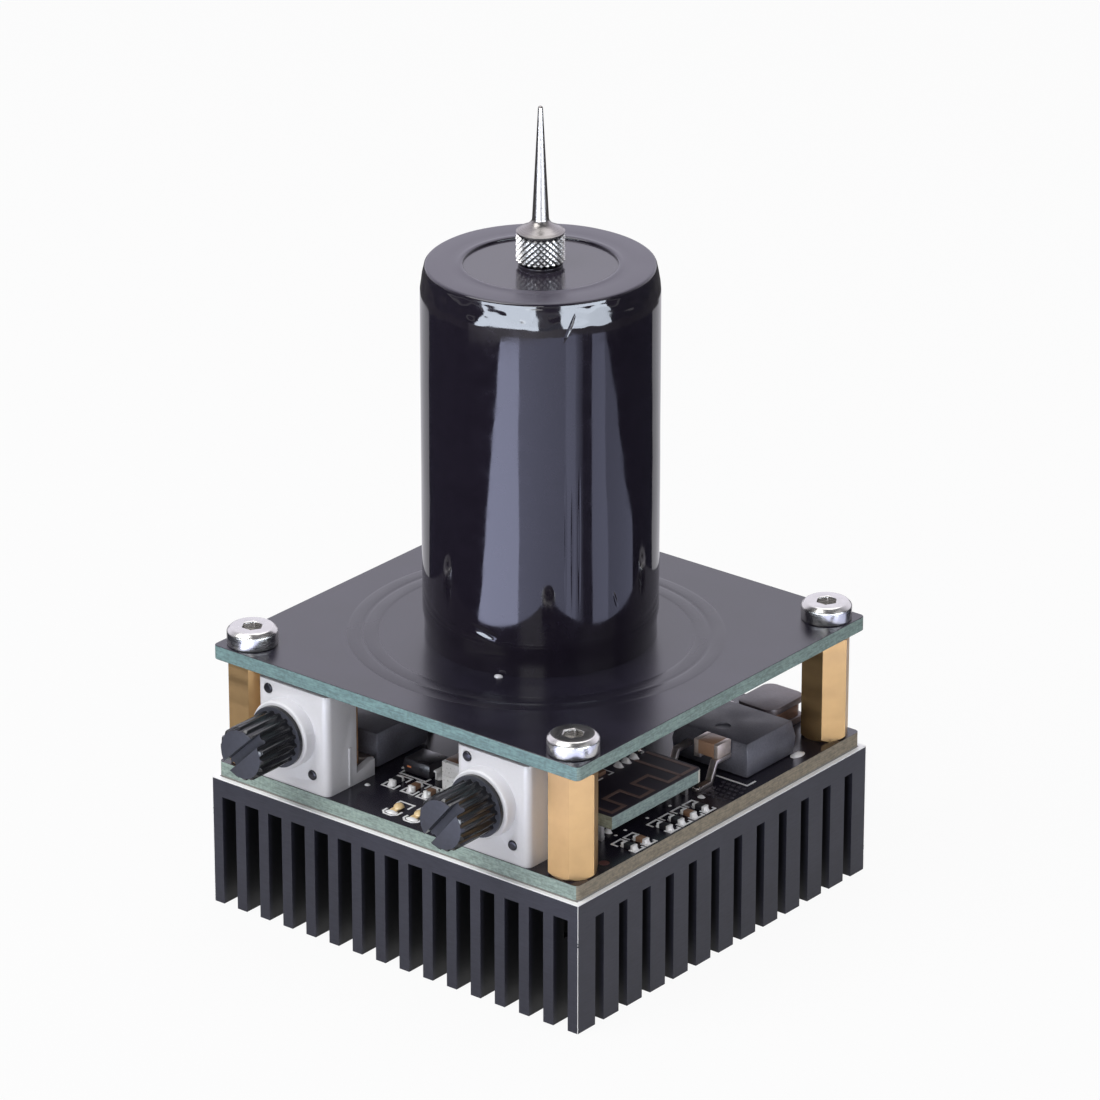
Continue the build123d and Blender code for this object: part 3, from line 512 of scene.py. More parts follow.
def shaftFinish():
    values = {"side": (0.009, 0.009, 0.011), "sideRough": 0.20, "end": (0.024, 0.025, 0.036), "endRough": 0.62}
    material, shader, place = startMaterial("shaftBlack", values["side"], values["sideRough"])
    end = over(both(splitNormal()[1], -1.0), 0.9)
    scuffs = noiseOf(stretched(place, (1, 0.25, 1)), 1500.0, 3.0, 0.7)
    low = blendColours(end, values["side"], values["end"])
    high = blendColours(end, [c * 1.7 for c in values["side"]], [c * 1.35 for c in values["end"]])
    feed(shader, "Base Color", blendColours(spread(scuffs, 0.4, 0.7), low, high))
    feed(shader, "Roughness", spread(end, 0.0, 1.0, values["sideRough"], values["endRough"]))
    bumpOf(shader, scuffs, 0.12, 0.02)
    return material


def pittedTin():
    # The caps are near-white and not metal: tin's own pale colour plus painted light, so they show bright in the
    # shade under the upper board; the pits are darker specks.
    values = {"colour": (0.95, 0.95, 0.94), "pit": (0.22, 0.21, 0.19), "rough": 0.34}
    material, shader, place = startMaterial("pittedTin", values["colour"], values["rough"])
    pits = noiseOf(place, 4200.0, 2.0)
    shade = blendColours(spread(pits, 0.60, 0.72), values["colour"], values["pit"])
    feed(shader, "Base Color", shade)
    bumpOf(shader, pits, 0.5, 0.04)
    return material


anodised = anodisedFinish()
driverMask = boardFinish("driverBoardMask", "driver_board", (0.26, 0.34, 0.30), (0.25, 0.21, 0.145))
coilMask = boardFinish("coilBoardMask", "coil_board", (0.165, 0.28, 0.28), (0.22, 0.31, 0.28))
radioMask = boardFinish("radioBoardMask", "radio_board", (0.36, 0.38, 0.28), (0.27, 0.36, 0.34),
                        (0.030, 0.025, 0.037), 0.3, plated=True)
maskedCopper = plainFinish("maskedCopper", (0.0115, 0.0101, 0.0172), 0.26, grain=900.0, bump=0.05)
brass = turnedMetal("brass", (0.48, 0.305, 0.138), 0.38, ring=700.0, strength=0.15, tone=0.05)
nickel = turnedMetal("nickel", (0.52, 0.51, 0.49), 0.25, ring=3500.0, strength=0.25)
heatShrink = sleeveFinish()
capBlack = plainFinish("capBlack", (0.027, 0.023, 0.033), 0.15, grain=1500.0, roughSpread=0.04, bump=0.05)
paleHousing = plainFinish("paleHousing", (0.72, 0.72, 0.75), 0.42, grain=3200.0, tone=0.025, bump=0.08)
shaftBlack = shaftFinish()
rivetBlack = plainFinish("rivetBlack", (0.030, 0.029, 0.036), 0.24, 0.6, grain=3000.0)
moulding = plainFinish("moulding", (0.090, 0.089, 0.110), 0.48, grain=5200.0, tone=0.35, bump=0.25)
darkMoulding = plainFinish("darkMoulding", (0.026, 0.024, 0.030), 0.34, grain=5200.0, tone=0.30, bump=0.2)
tinned = plainFinish("tinned", (0.66, 0.64, 0.61), 0.30, 1.0, grain=2200.0, bump=0.12)
dullTin = plainFinish("dullTin", (0.54, 0.48, 0.45), 0.34, 1.0, grain=1800.0, tone=0.25, bump=0.12)
# Solder is near-white and almost not metal: its own pale colour plus painted light, so joints in the shade under the
# upper board still show bright.
solder = plainFinish("solder", (0.97, 0.97, 0.97), 0.20, 0.08, grain=1400.0, tone=0.05, bump=0.2)
endTin = pittedTin()
snubberTin = plainFinish("snubberTin", (0.56, 0.48, 0.44), 0.34, 0.5, grain=2200.0, tone=0.2)
ceramicBrown = plainFinish("ceramicBrown", (0.26, 0.145, 0.085), 0.42, grain=4000.0)
ceramicOchre = plainFinish("ceramicOchre", (0.42, 0.25, 0.16), 0.36, grain=3000.0, tone=0.10)
resistorBlack = plainFinish("resistorBlack", (0.018, 0.018, 0.022), 0.35, grain=3000.0)
lampGold = plainFinish("lampGold", (0.90, 0.62, 0.33), 0.22, grain=1800.0, tone=0.30)
silkWhite = plainFinish("silkWhite", (0.96, 0.96, 0.97), 0.6, grain=7000.0, tone=0.08)
copperWire = turnedMetal("copperWire", (0.62, 0.30, 0.16), 0.35, ring=6000.0, strength=0.6)
inductorCopper = plainFinish("inductorCopper", (0.27, 0.15, 0.10), 0.40, grain=1800.0, tone=0.3,
                             stretch=(0.2, 0.2, 3.0))
ferrite = plainFinish("ferrite", (0.165, 0.135, 0.145), 0.42, grain=3500.0, tone=0.2)
formerWhite = plainFinish("formerWhite", (0.75, 0.74, 0.70), 0.5)
phenolic = plainFinish("phenolic", (0.36, 0.20, 0.10), 0.5, grain=1800.0, tone=0.3)
carbonTrack = plainFinish("carbonTrack", (0.03, 0.03, 0.03), 0.6)
siliconePad = plainFinish("siliconePad", (0.20, 0.19, 0.17), 0.7, grain=2000.0)
jackPlastic = plainFinish("jackPlastic", (0.016, 0.016, 0.018), 0.38, grain=3000.0, bump=0.2)
antennaCopper = plainFinish("antennaCopper", (0.21, 0.14, 0.12), 0.34, grain=1500.0, tone=0.25, bump=0.05)
viaTone = plainFinish("viaTone", (0.045, 0.042, 0.052), 0.4, grain=2500.0)
holeCopper = plainFinish("holeCopper", (0.16, 0.065, 0.06), 0.35, 0.5, grain=2500.0)
clearGlue = plainFinish("clearGlue", (0.50, 0.50, 0.53), 0.12, grain=900.0, tone=0.1)
orangeDashTone = plainFinish("orangeDashTone", (0.75, 0.22, 0.06), 0.5)
print("materials")


# camera, floor and light

toCamera = Vector((cameraValues["place"][0], cameraValues["place"][1], 0)).normalized()


def makeCamera():
    data = bpy.data.cameras.new("view")
    data.lens = cameraValues["lens"]
    data.sensor_width = cameraValues["sensor"]
    data.clip_start = 0.01
    data.clip_end = 20
    camera = bpy.data.objects.new("view", data)
    bpy.context.scene.collection.objects.link(camera)
    camera.location = cameraValues["place"]
    look = Vector(cameraValues["aim"]) - Vector(cameraValues["place"])
    camera.rotation_euler = look.to_track_quat("-Z", "Y").to_euler()
    bpy.context.scene.camera = camera


def around(right):  # a direction so many degrees to the right of the camera's side
    return Vector((math.cos(angleOf(right)), math.sin(angleOf(right)), 0))


floorValues = {"tone": (0.52, 0.52, 0.53), "cameraShare": 0.94, "glossyShare": 0.6, "size": 6.0}


def emptyMaterial(name):
    material = bpy.data.materials.new(name)
    openTree(material, bare=True)
    return material


def makeFloor():
    pickNothing()
    bpy.ops.mesh.primitive_plane_add(size=floorValues["size"], location=(0, 0, 0))
    floor = bpy.context.object
    floor.name = "floor"
    material = emptyMaterial("paper")
    flat = put("ShaderNodeBsdfDiffuse", Color=(*floorValues["tone"], 1))
    white = put("ShaderNodeEmission", Color=(1, 1, 1, 1), Strength=1.0)
    rays = put("ShaderNodeLightPath")
    seen = either(rays.outputs["Is Camera Ray"], rays.outputs["Is Transmission Ray"])
    share = either(both(seen, floorValues["cameraShare"]),
                   both(rays.outputs["Is Glossy Ray"], floorValues["glossyShare"]))
    mix = put("ShaderNodeMixShader", n0=share, n1=flat.outputs[0], n2=white.outputs[0])
    put("ShaderNodeOutputMaterial", Surface=mix.outputs[0])
    floor.data.materials.append(material)


# Cards on the floor that only glossy surfaces see. They give the sleeve its upright bands.
# For each radius the start and the stop, in degrees right of the camera's side, then the light at both.
cardValues = {"level": 0.0004, "rings": [
    {"name": "sleeveCard", "tint": (0.69, 0.73, 1.03), "radii": (0.076, 0.120, 0.150, 0.190), "cards": [
        ((-131,) * 4, (-68, -51.5, -44.5, -37), 0.05, 0.05),
        ((-68, -51.5, -44.5, -37), (-20,) * 4, 6.2, 6.1),
        ((-20,) * 4, (6,) * 4, 2.5, 2.05),
        ((6,) * 4, (23,) * 4, 2.05, 1.85),
        ((23,) * 4, (32,) * 4, 2.6, 2.4),
        ((32,) * 4, (39,) * 4, 1.8, 0.4),
        ((39,) * 4, (48,) * 4, 0.15, 0.15),
        ((48,) * 4, (64, 64, 62, 61), 2.2, 2.3),
        ((64, 64, 62, 61), (95, 95, 78, 62), 1.4, 1.4),
        ((95, 95, 78, 62), (131,) * 4, 0.05, 0.05),
    ]},
    {"name": "backCard", "tint": (0.95, 0.94, 1.0), "radii": (0.076, 0.190), "cards": [
        ((131,) * 2, (180,) * 2, 0.75, 0.85),
        ((180,) * 2, (229,) * 2, 0.85, 0.75),
    ]},
    {"name": "needleCard", "tint": (0.90, 0.88, 0.92), "radii": (0.190, 0.250, 0.340), "cards": [
        ((-180,) * 3, (-70,) * 3, 0.10, 0.14),
        ((-70,) * 3, (-12,) * 3, 0.45, 1.25),
        ((-12,) * 3, (30,) * 3, 1.25, 0.60),
        ((30,) * 3, (80,) * 3, 0.50, 0.18),
        ((80,) * 3, (180,) * 3, 0.12, 0.10),
    ]},
    {"name": "rimCard", "tint": (0.80, 0.88, 1.0), "radii": (0.340, 0.600, 1.200), "cards": [
        ((-180,) * 3, (-60,) * 3, 0.05, 0.10),
        ((-60,) * 3, (-3,) * 3, 16.0, 17.0),
        ((-3,) * 3, (19,) * 3, 0.7, 0.5),
        ((19,) * 3, (68,) * 3, 16.0, 12.0),
        ((68,) * 3, (180,) * 3, 0.10, 0.05),
    ]},
]}
skyCardValues = {"tint": (0.80, 0.88, 1.0), "light": 16.0, "reach": 1.19, "low": 0.0, "high": 0.14,
                 "spans": [(-58, -3), (19, 66)]}


def glowing(name, first, last, tint):
    material = emptyMaterial(name)
    across = splitPlace(put("ShaderNodeTexCoord").outputs["UV"])[0]
    light = spread(across, 0.0, 1.0, first, last)
    glow = put("ShaderNodeEmission", Color=(*tint, 1), Strength=light)
    put("ShaderNodeOutputMaterial", Surface=glow.outputs[0])
    return material


def hideFromAllButGloss(card):
    card.visible_camera = False
    card.visible_diffuse = False
    card.visible_shadow = False
    card.visible_transmission = False


def makeCards():
    for ring in cardValues["rings"]:
        for index, (starts, stops, first, last) in enumerate(ring["cards"]):
            pickNothing()
            rows = len(ring["radii"]) - 1
            bpy.ops.mesh.primitive_grid_add(x_subdivisions=8, y_subdivisions=rows, size=1.0)
            card = bpy.context.object
            card.name = f"{ring['name']}{index}"
            for vertex in card.data.vertices:
                row = round((vertex.co.y + 0.5) * rows)
                share = vertex.co.x + 0.5
                spot = around(starts[row] * (1 - share) + stops[row] * share) * ring["radii"][row]
                vertex.co = (spot.x, spot.y, cardValues["level"])
            card.data.materials.append(glowing(card.name, first, last, ring["tint"]))
            hideFromAllButGloss(card)


def makeSkyCards():  # low bright panels that the folds under the sleeve's rim catch
    values = skyCardValues
    for index, (start, stop) in enumerate(values["spans"]):
        pickNothing()
        bpy.ops.mesh.primitive_plane_add(size=1.0)
        card = bpy.context.object
        card.name = f"skyCard{index}"
        for vertex in card.data.vertices:
            spot = around(start if vertex.co.x < 0 else stop) * values["reach"]
            vertex.co = (spot.x, spot.y, values["low"] if vertex.co.y < 0 else values["high"])
        card.data.materials.append(glowing(card.name, values["light"], values["light"], values["tint"]))
        hideFromAllButGloss(card)


lampValues = [  # degrees right of the camera's side, rise, distance in metres, size and power
    ("keyBox", -62, 52, 0.75, 0.50, 4.1),
    ("lowBox", -8, 15, 0.90, 0.34, 1.5),
    ("fillBox", 58, 34, 0.80, 0.50, 0.6),
    ("topBox", 160, 74, 0.80, 0.60, 2.4),
]


def makeLamps():
    for name, angle, rise, reach, size, power in lampValues:
        data = bpy.data.lights.new(name, "AREA")
        data.shape = "SQUARE"
        data.size = size
        data.energy = power
        lamp = bpy.data.objects.new(name, data)
        bpy.context.scene.collection.objects.link(lamp)
        flat = around(angle) * math.cos(math.radians(rise))
        lamp.location = (flat + Vector((0, 0, math.sin(math.radians(rise))))) * reach + Vector((0, 0, 0.04))
        look = Vector((0, 0, 0.04)) - lamp.location
        lamp.rotation_euler = look.to_track_quat("-Z", "Y").to_euler()


worldValues = {"tint": (0.95, 0.94, 1.0), "mirrorTint": (0.90, 0.88, 1.0), "room": 0.28, "mirrorLow": 0.14,
               "mirrorHigh": 1.45}


def makeWorld():
    world = bpy.data.worlds.new("studio")
    bpy.context.scene.world = world
    openTree(world, bare=True)
    tint = (*worldValues["tint"], 1)
    rays = put("ShaderNodeLightPath")
    direction = put("ShaderNodeTexCoord").outputs["Generated"]
    facing = put("ShaderNodeVectorMath", {"operation": "DOT_PRODUCT"}, n0=direction, n1=tuple(-toCamera))
    behind = spread(facing.outputs["Value"], -0.15, 0.55, worldValues["mirrorLow"], worldValues["mirrorHigh"])
    room = put("ShaderNodeBackground", Color=tint, Strength=worldValues["room"])
    mirror = put("ShaderNodeBackground", Color=(*worldValues["mirrorTint"], 1), Strength=behind)
    white = put("ShaderNodeBackground", Color=(1, 1, 1, 1), Strength=1.0)
    glossy = rays.outputs["Is Glossy Ray"]
    first = put("ShaderNodeMixShader", n0=glossy, n1=room.outputs[0], n2=mirror.outputs[0])
    seen = either(rays.outputs["Is Camera Ray"], rays.outputs["Is Transmission Ray"])
    last = put("ShaderNodeMixShader", n0=seen, n1=first.outputs[0], n2=white.outputs[0])
    put("ShaderNodeOutputWorld", Surface=last.outputs[0])


bpy.context.scene.view_settings.view_transform = "Standard"
makeCamera()
makeFloor()
makeCards()
makeSkyCards()
makeLamps()
makeWorld()
print("studio")


# heat sink, boards, spacers and screws

dressed("heat_sink", 0.10, anodised, steps=1)
paint("thermal_pad", siliconePad)
dressed("driver_board", 0.05, driverMask, steps=1)
dressed("coil_board", 0.05, coilMask, steps=1)


def makePrimaryTurns():  # the track under the mask: soft shoulders instead of the solid's square edges
    values = {"foot": 0.004, "shoulders": ((0.09, 0.009), (0.10, 0.013), (0.09, 0.008))}
    low, high = lowOf("primary_winding").z, highOf("primary_winding").z
    piece = copyOfNode("primary_winding", "primaryTurns")
    editSome(piece, lambda at: at.z > high - 0.01)
    bpy.ops.transform.translate(value=(0, 0, (low + values["foot"] - high) * mm))
    bpy.ops.mesh.select_mode(type="FACE")
    for width, rise in values["shoulders"]:
        bpy.ops.mesh.inset(thickness=width * mm, depth=rise * mm)
    stopEditing()
    smooth(piece, 60)
    settle(piece, maskedCopper, "base", ["primary_winding"])


makePrimaryTurns()

spacerValues = {"names": ["front_left", "front_right", "rear_left", "rear_right"], "endChamfer": 0.35, "edge": 0.06,
                "studRadius": 1.5, "studLength": 6.0, "studMiddle": 2.9, "spare": 0.001}


def makeSpacers():  # hexagon and round stud, both cut to length with turned ends
    values = spacerValues
    for name in values["names"]:
        node = "spacer_" + name
        low, high, middle = lowOf(node), highOf(node), middleOf(node)
        piece = copyOfNode(node)
        barrel = rodAt((middle.x, middle.y, (high.z + driverTop) / 2), (high.x - low.x) / 2 + values["spare"],
                       high.z - driverTop, 72)
        roundEdges(barrel, values["endChamfer"], 1, 60)
        stud = rodAt((middle.x, middle.y, driverTop - values["studMiddle"]), values["studRadius"],
                     values["studLength"], 48)
        cutWith(piece, joinAll([barrel, stud], "spacerCutter"), "INTERSECT")
        roundEdges(piece, values["edge"], 1, 40)
        smooth(piece, 20)
        settle(piece, brass, "base", [node])


makeSpacers()
dressed("cap_screws", 0.14, nickel, steps=3)
print("stack")


# coil

sleeveValues = {"wall": 0.3, "mouth": 8.1, "shoulder": 0.6, "rim": 0.38, "rimDrop": 0.03, "leanStart": 2.8,
                "lean": 0.42, "rows": 36, "rimRows": 24, "rimReach": 6.0, "around": 216, "wobble": 0.05,
                "wobbleSize": 7.0, "wrinkle": 0.20, "wrinkleSize": 1.6, "wrinkleBand": 1.7, "wrinkleDrop": 1.7,
                "lip": ((1.6, 0.06), (0.85, 0.08), (0.6, 0.05), (0.4, 0.01), (0.2, 0.01), (0.07, 0.06), (0.0, 0.16))}


def makeSleeve():
    values = sleeveValues
    bottom, top = lowOf("heat_shrink_sleeve").z, highOf("heat_shrink_sleeve").z
    capTop = highOf("coil_top_cap").z
    radius = highOf("heat_shrink_sleeve").x
    bare = highOf("coil_former").x + 0.02
    windingLow = lowOf("secondary_winding").z
    wall, rim, mouth = values["wall"], values["rim"], values["mouth"]
    split = top - values["rimReach"]
    heights = [bottom + (split - bottom) * row / values["rows"] for row in range(1, values["rows"])]
    heights += [split + (top - rim - split) * row / values["rimRows"] for row in range(values["rimRows"])]
    profile = [(bare, bottom), (bare + wall, bottom)]
    for z in heights:
        near = min(1.0, max(0.0, (z - windingLow) / values["shoulder"] + 1))
        near = near ** 2 * (3 - 2 * near)
        share = max(0.0, (z - top + values["leanStart"]) / (values["leanStart"] - rim))
        lean = values["lean"] * (share + share ** 2) / 2
        profile.append((bare + wall + (radius - bare - wall) * near - lean, z))
    for step in range(9):
        turn = math.pi / 2 * step / 8
        profile.append((radius - values["lean"] - rim + rim * math.cos(turn),
                        top - values["rimDrop"] - rim + rim * math.sin(turn)))
    profile += [(mouth + out, top - drop) for out, drop in values["lip"]]
    profile += [(mouth, capTop), (bare, capTop), (bare, bottom)]
    piece = turned("heatShrinkSleeve", profile, values["around"])
    rims = piece.vertex_groups.new(name="rimFolds")
    sides = piece.vertex_groups.new(name="sideFolds")
    for vertex in piece.data.vertices:
        z = vertex.co.z / mm
        outer = math.hypot(vertex.co.x, vertex.co.y) / mm > radius - values["lean"] - rim - 0.01
        if outer and z > bottom + 0.1:
            band = max(0.0, 1 - abs(z - (top - values["wrinkleDrop"])) / values["wrinkleBand"])
            rims.add([vertex.index], band, "REPLACE")
            sides.add([vertex.index], 1.0, "REPLACE")
    for group, size, depth in (("rimFolds", values["wrinkleSize"], values["wrinkle"]),
                               ("sideFolds", values["wobbleSize"], values["wobble"])):
        texture = bpy.data.textures.new(group, "CLOUDS")
        texture.noise_scale = size * mm
        texture.noise_depth = 1
        shift = piece.modifiers.new(group, "DISPLACE")
        shift.texture = texture
        shift.texture_coords = "LOCAL"
        shift.strength = depth * mm
        shift.mid_level = 0.75
        shift.vertex_group = group
        pickOne(piece)
        bpy.ops.object.modifier_apply(modifier=shift.name)
    piece.vertex_groups.clear()
    smooth(piece, 50)
    settle(piece, heatShrink, "base", ["heat_shrink_sleeve"])


makeSleeve()
dressed("coil_top_cap", 0.0, capBlack)
paint("coil_former", formerWhite)
paint("coil_base_plug", formerWhite)
paint("secondary_winding", copperWire)
paint("secondary_leads", copperWire)
dressed("needle_insert", 0.05, capBlack)

needleValues = {"teethAround": 22, "teethRows": 5, "toothDepth": 0.32, "collar": 3.65, "plain": 0.32, "flare": 1.3,
                "root": 0.88, "point": 0.26, "edge": 0.08, "stud": 1.45, "colour": (0.24, 0.225, 0.215),
                "rough": 0.30, "grooveShade": (0.02, 0.018, 0.019), "tooth": (0.96, 0.95, 0.94)}


def makeNeedle():
    values = needleValues
    radius = highOf("discharge_needle").x
    seat = highOf("needle_insert").z
    bottom, tip = lowOf("discharge_needle").z, highOf("discharge_needle").z
    collarTop = seat + values["collar"]
    root = collarTop + values["flare"]
    rootRadius, tipRadius, edge = values["root"], values["point"], values["edge"]
    core = radius - values["toothDepth"]
    stud, plain = values["stud"], collarTop - values["plain"]
    profile = [(0, bottom), (stud - 0.15, bottom), (stud, bottom + 0.15), (stud, seat), (core - 0.2, seat),
               (core, seat + edge), (core, plain), (radius - 0.08, plain), (radius - 0.04, collarTop - 0.12),
               (core + 0.10, collarTop)]
    wide = core + 0.02 - rootRadius
    for step in range(15):
        share = step / 14
        profile.append((rootRadius + wide * (1 - share) ** 2.1, collarTop + 0.06 + (values["flare"] - 0.06) * share))
    for step in range(1, 12):
        share = step / 12
        profile.append((rootRadius + (tipRadius - rootRadius) * share, root + (tip - tipRadius - root) * share))
    for step in range(6):
        turn = math.pi / 2 * step / 5
        profile.append((tipRadius * math.cos(turn), tip - tipRadius + tipRadius * math.sin(turn)))
    body = turned("dischargeNeedle", profile, 72)
    smooth(body, 35)
    pickNothing()  # one tooth of the knurl, then copies round the collar
    height = (collarTop - seat - edge - values["plain"]) / values["teethRows"]
    width = 2 * math.pi * core / values["teethAround"]
    bpy.ops.mesh.primitive_cone_add(vertices=4, radius1=0.5 * mm, radius2=0.06 * mm, depth=values["toothDepth"] * mm)
    tooth = bpy.context.object
    editAll(tooth)
    bpy.ops.transform.resize(value=(height, width, 1.0))
    bpy.ops.transform.rotate(value=math.radians(90), orient_axis="Y", center_override=(0, 0, 0))
    stopEditing()
    broadest = max(tooth.data.vertices, key=lambda v: abs(v.co.y) + abs(v.co.z))
    if broadest.co.x > 0:  # the tooth's broad foot goes inwards
        editAll(tooth)
        bpy.ops.transform.mirror(constraint_axis=(True, False, False), center_override=(0, 0, 0))
        bpy.ops.mesh.flip_normals()
        stopEditing()
    teeth = [body]
    reach = core + values["toothDepth"] / 2 - 0.01
    for row in range(values["teethRows"] * 2 - 1):
        z = seat + edge + height * (0.5 + row / 2)
        for step in range(values["teethAround"]):
            turn = 360 * (step + 0.5 * (row % 2)) / values["teethAround"]
            a = math.radians(turn)
            teeth.append(copyOf(tooth, (reach * math.cos(a), reach * math.sin(a), z), turn))
    bpy.data.objects.remove(tooth)
    # The knurl's tooth tips carry a painted highlight and its grooves painted shade.
    steel = turnedMetal("needleSteel", values["colour"], values["rough"], ring=16000.0, strength=0.3,
                        knurl=(core, radius - 0.1, seat - 0.05, collarTop - values["plain"], values["grooveShade"],
                               values["tooth"]))
    settle(joinAll(teeth, "dischargeNeedle"), steel, "needle", ["discharge_needle"])


makeNeedle()

glueValues = {"place": (4.18, -12.27), "size": 0.75}


def makeGlue():  # a drop of glue at the foot of the sleeve
    drop = halfBall(20, 12, 0.5)
    x, y = glueValues["place"]
    size = glueValues["size"]
    piece = copyOf(drop, (x, y, coilBoardTop - 0.02), 20, (size * 1.3, size, size * 0.8))
    bpy.data.objects.remove(drop)
    piece.name = "glueDrop"
    smooth(piece, 60)
    settle(piece, clearGlue)


makeGlue()
print("coil and needle")


# control potentiometers

housingValues = {"edge": 0.14, "sharp": 30, "frontWall": 1.0, "chamber": 4.05}


def makeHousing(side):  # the chamber's own edges stay as they are, so the wiper turns clear of them
    values = housingValues
    node = side + "_control_housing"
    piece = copyOfNode(node)
    axis, front = middleOf(side + "_control_wiper"), lowOf(node).y
    editAll(piece)
    bpy.ops.mesh.select_mode(type="EDGE")
    bpy.ops.mesh.select_all(action="DESELECT")
    bpy.ops.mesh.edges_select_sharp(sharpness=math.radians(values["sharp"]))
    stopEditing()
    for edge in piece.data.edges:
        ends = [piece.data.vertices[index].co / mm for index in edge.vertices]
        if all(at.y > front + values["frontWall"] and math.hypot(at.x - axis.x, at.z - axis.z) < values["chamber"]
               for at in ends):
            edge.select = False
    bpy.ops.object.mode_set(mode="EDIT")
    bpy.ops.mesh.bevel(offset=values["edge"] * mm, segments=2, affect="EDGES", clamp_overlap=True)
    bpy.ops.mesh.select_mode(type="VERT")
    stopEditing()
    smooth(piece)
    settle(piece, paleHousing, "base", [node])


wiperReach = 3.58  # the finger tips are trimmed to this radius, clear of the stop post


def makeWiper(side):
    node = side + "_control_wiper"
    piece = copyOfNode(node)
    cutWith(piece, rodAt(middleOf(node), wiperReach, 6.0, 96, 90), "INTERSECT")
    smooth(piece)
    settle(piece, tinned, side + "_rotor", [node])


for side in ("left", "right"):
    makeHousing(side)
    dressed(side + "_control_shaft", 0.05, shaftBlack, side + "_rotor", steps=1)
    dressed(side + "_control_rivets", 0.14, rivetBlack, steps=3)
    dressed(side + "_control_wafer", 0.05, phenolic, steps=1)
    paint(side + "_control_resistor_track", carbonTrack)
    dressed(side + "_control_terminals", 0.03, tinned, steps=1)
    makeWiper(side)
print("controls")


# parts on the driver board

def makeRadioBoard():
    piece = copyOfNode("radio_board")
    high = highOf("radio_board")
    editSome(piece, lambda at: at.x > high.x - 0.01 and at.y > high.y - 0.01)
    bpy.ops.mesh.bevel(offset=0.7 * mm, segments=5, affect="EDGES")
    stopEditing()
    roundEdges(piece, 0.03, 1, 40)
    smooth(piece, 25)
    settle(piece, radioMask, "base", ["radio_board"])


makeRadioBoard()
paint("radio_pins", tinned)
for node in ("radio_processor", "radio_memory"):
    dressed(node, 0.06, moulding)
paint("radio_crystal", tinned)
for node, material in (("gate_driver", moulding), ("regulator", moulding), ("rectifier_case", darkMoulding)):
    dressed(node, 0.08, material)

caseValues = {"markRadius": 0.85, "markDepth": 0.12, "edge": 0.16,
              "rightMark": (17.36, 9.43), "leftMark": (0.5, 0.72)}


def makeTransistorCase(node, mark):
    piece = copyOfNode(node)
    roundEdges(piece, caseValues["edge"], 2, 20)
    top = highOf(node).z
    cutter = rodAt((mark[0], mark[1], top + 0.5 - caseValues["markDepth"]), caseValues["markRadius"], 1.0, 40)
    roundEdges(cutter, 0.08, 2, 60)
    cutWith(piece, cutter)
    smooth(piece, 30)
    settle(piece, moulding, "base", [node])


makeTransistorCase("right_transistor_case", caseValues["rightMark"])
leftLow, leftHigh = lowOf("left_transistor_case"), highOf("left_transistor_case")
makeTransistorCase("left_transistor_case",
                   [leftLow[i] + (leftHigh[i] - leftLow[i]) * caseValues["leftMark"][i] for i in (0, 1)])
for node, material in (
        ("chip_leads", tinned), ("right_transistor_metal", dullTin), ("left_transistor_metal", dullTin),
        ("rectifier_leads", solder), ("bulk_end_caps", endTin), ("snubber_end_caps", snubberTin),
        ("chip_end_caps", solder)):
    dressed(node, 0.05, material)
for node, material, slotName in (
        ("bulk_capacitors", ceramicBrown, "ceramic"), ("snubber_capacitor", ceramicOchre, "ceramic"),
        ("chip_capacitors", ceramicBrown, "ceramic"), ("chip_resistors", resistorBlack, "resistor"),
        ("inductor_core", ferrite, "ferrite"), ("inductor_winding", inductorCopper, "copper"),
        ("jack_housing", jackPlastic, "black_plastic"), ("jack_pin", tinned, "tin")):
    dressed(node, 0.06, material)
paint("jack_contacts", tinned)


# status lamps: a gold dome on a small base, replacing the plain blocks

lampPartValues = {"base": (0.8, 1.56, 0.18), "baseEdge": 0.04, "dome": (0.56, 0.62, 0.44), "back": 0.28, "inset": 0.4,
                  "sunk": 0.03}


def makeStatusLamps():
    values = lampPartValues
    low, high = lowOf("status_lamps"), highOf("status_lamps")
    y, thick = (low.y + high.y) / 2, values["base"][2]
    parts = []
    for x in (low.x + values["inset"], high.x - values["inset"]):
        base = boxAt((x, y, driverTop + thick / 2), values["base"])
        roundEdges(base, values["baseEdge"], 2)
        ball = halfBall(24, 14, 1.0)
        parts.append(copyOf(ball, (x, y + values["back"], driverTop + thick - values["sunk"]), 0, values["dome"]))
        bpy.data.objects.remove(ball)
        parts.append(base)
    piece = joinAll(parts, "statusLamps")
    smooth(piece, 40)
    settle(piece, lampGold, "base", ["status_lamps"])


makeStatusLamps()


# solder: one drop with a spreading foot, then copies of it wherever a joint shows

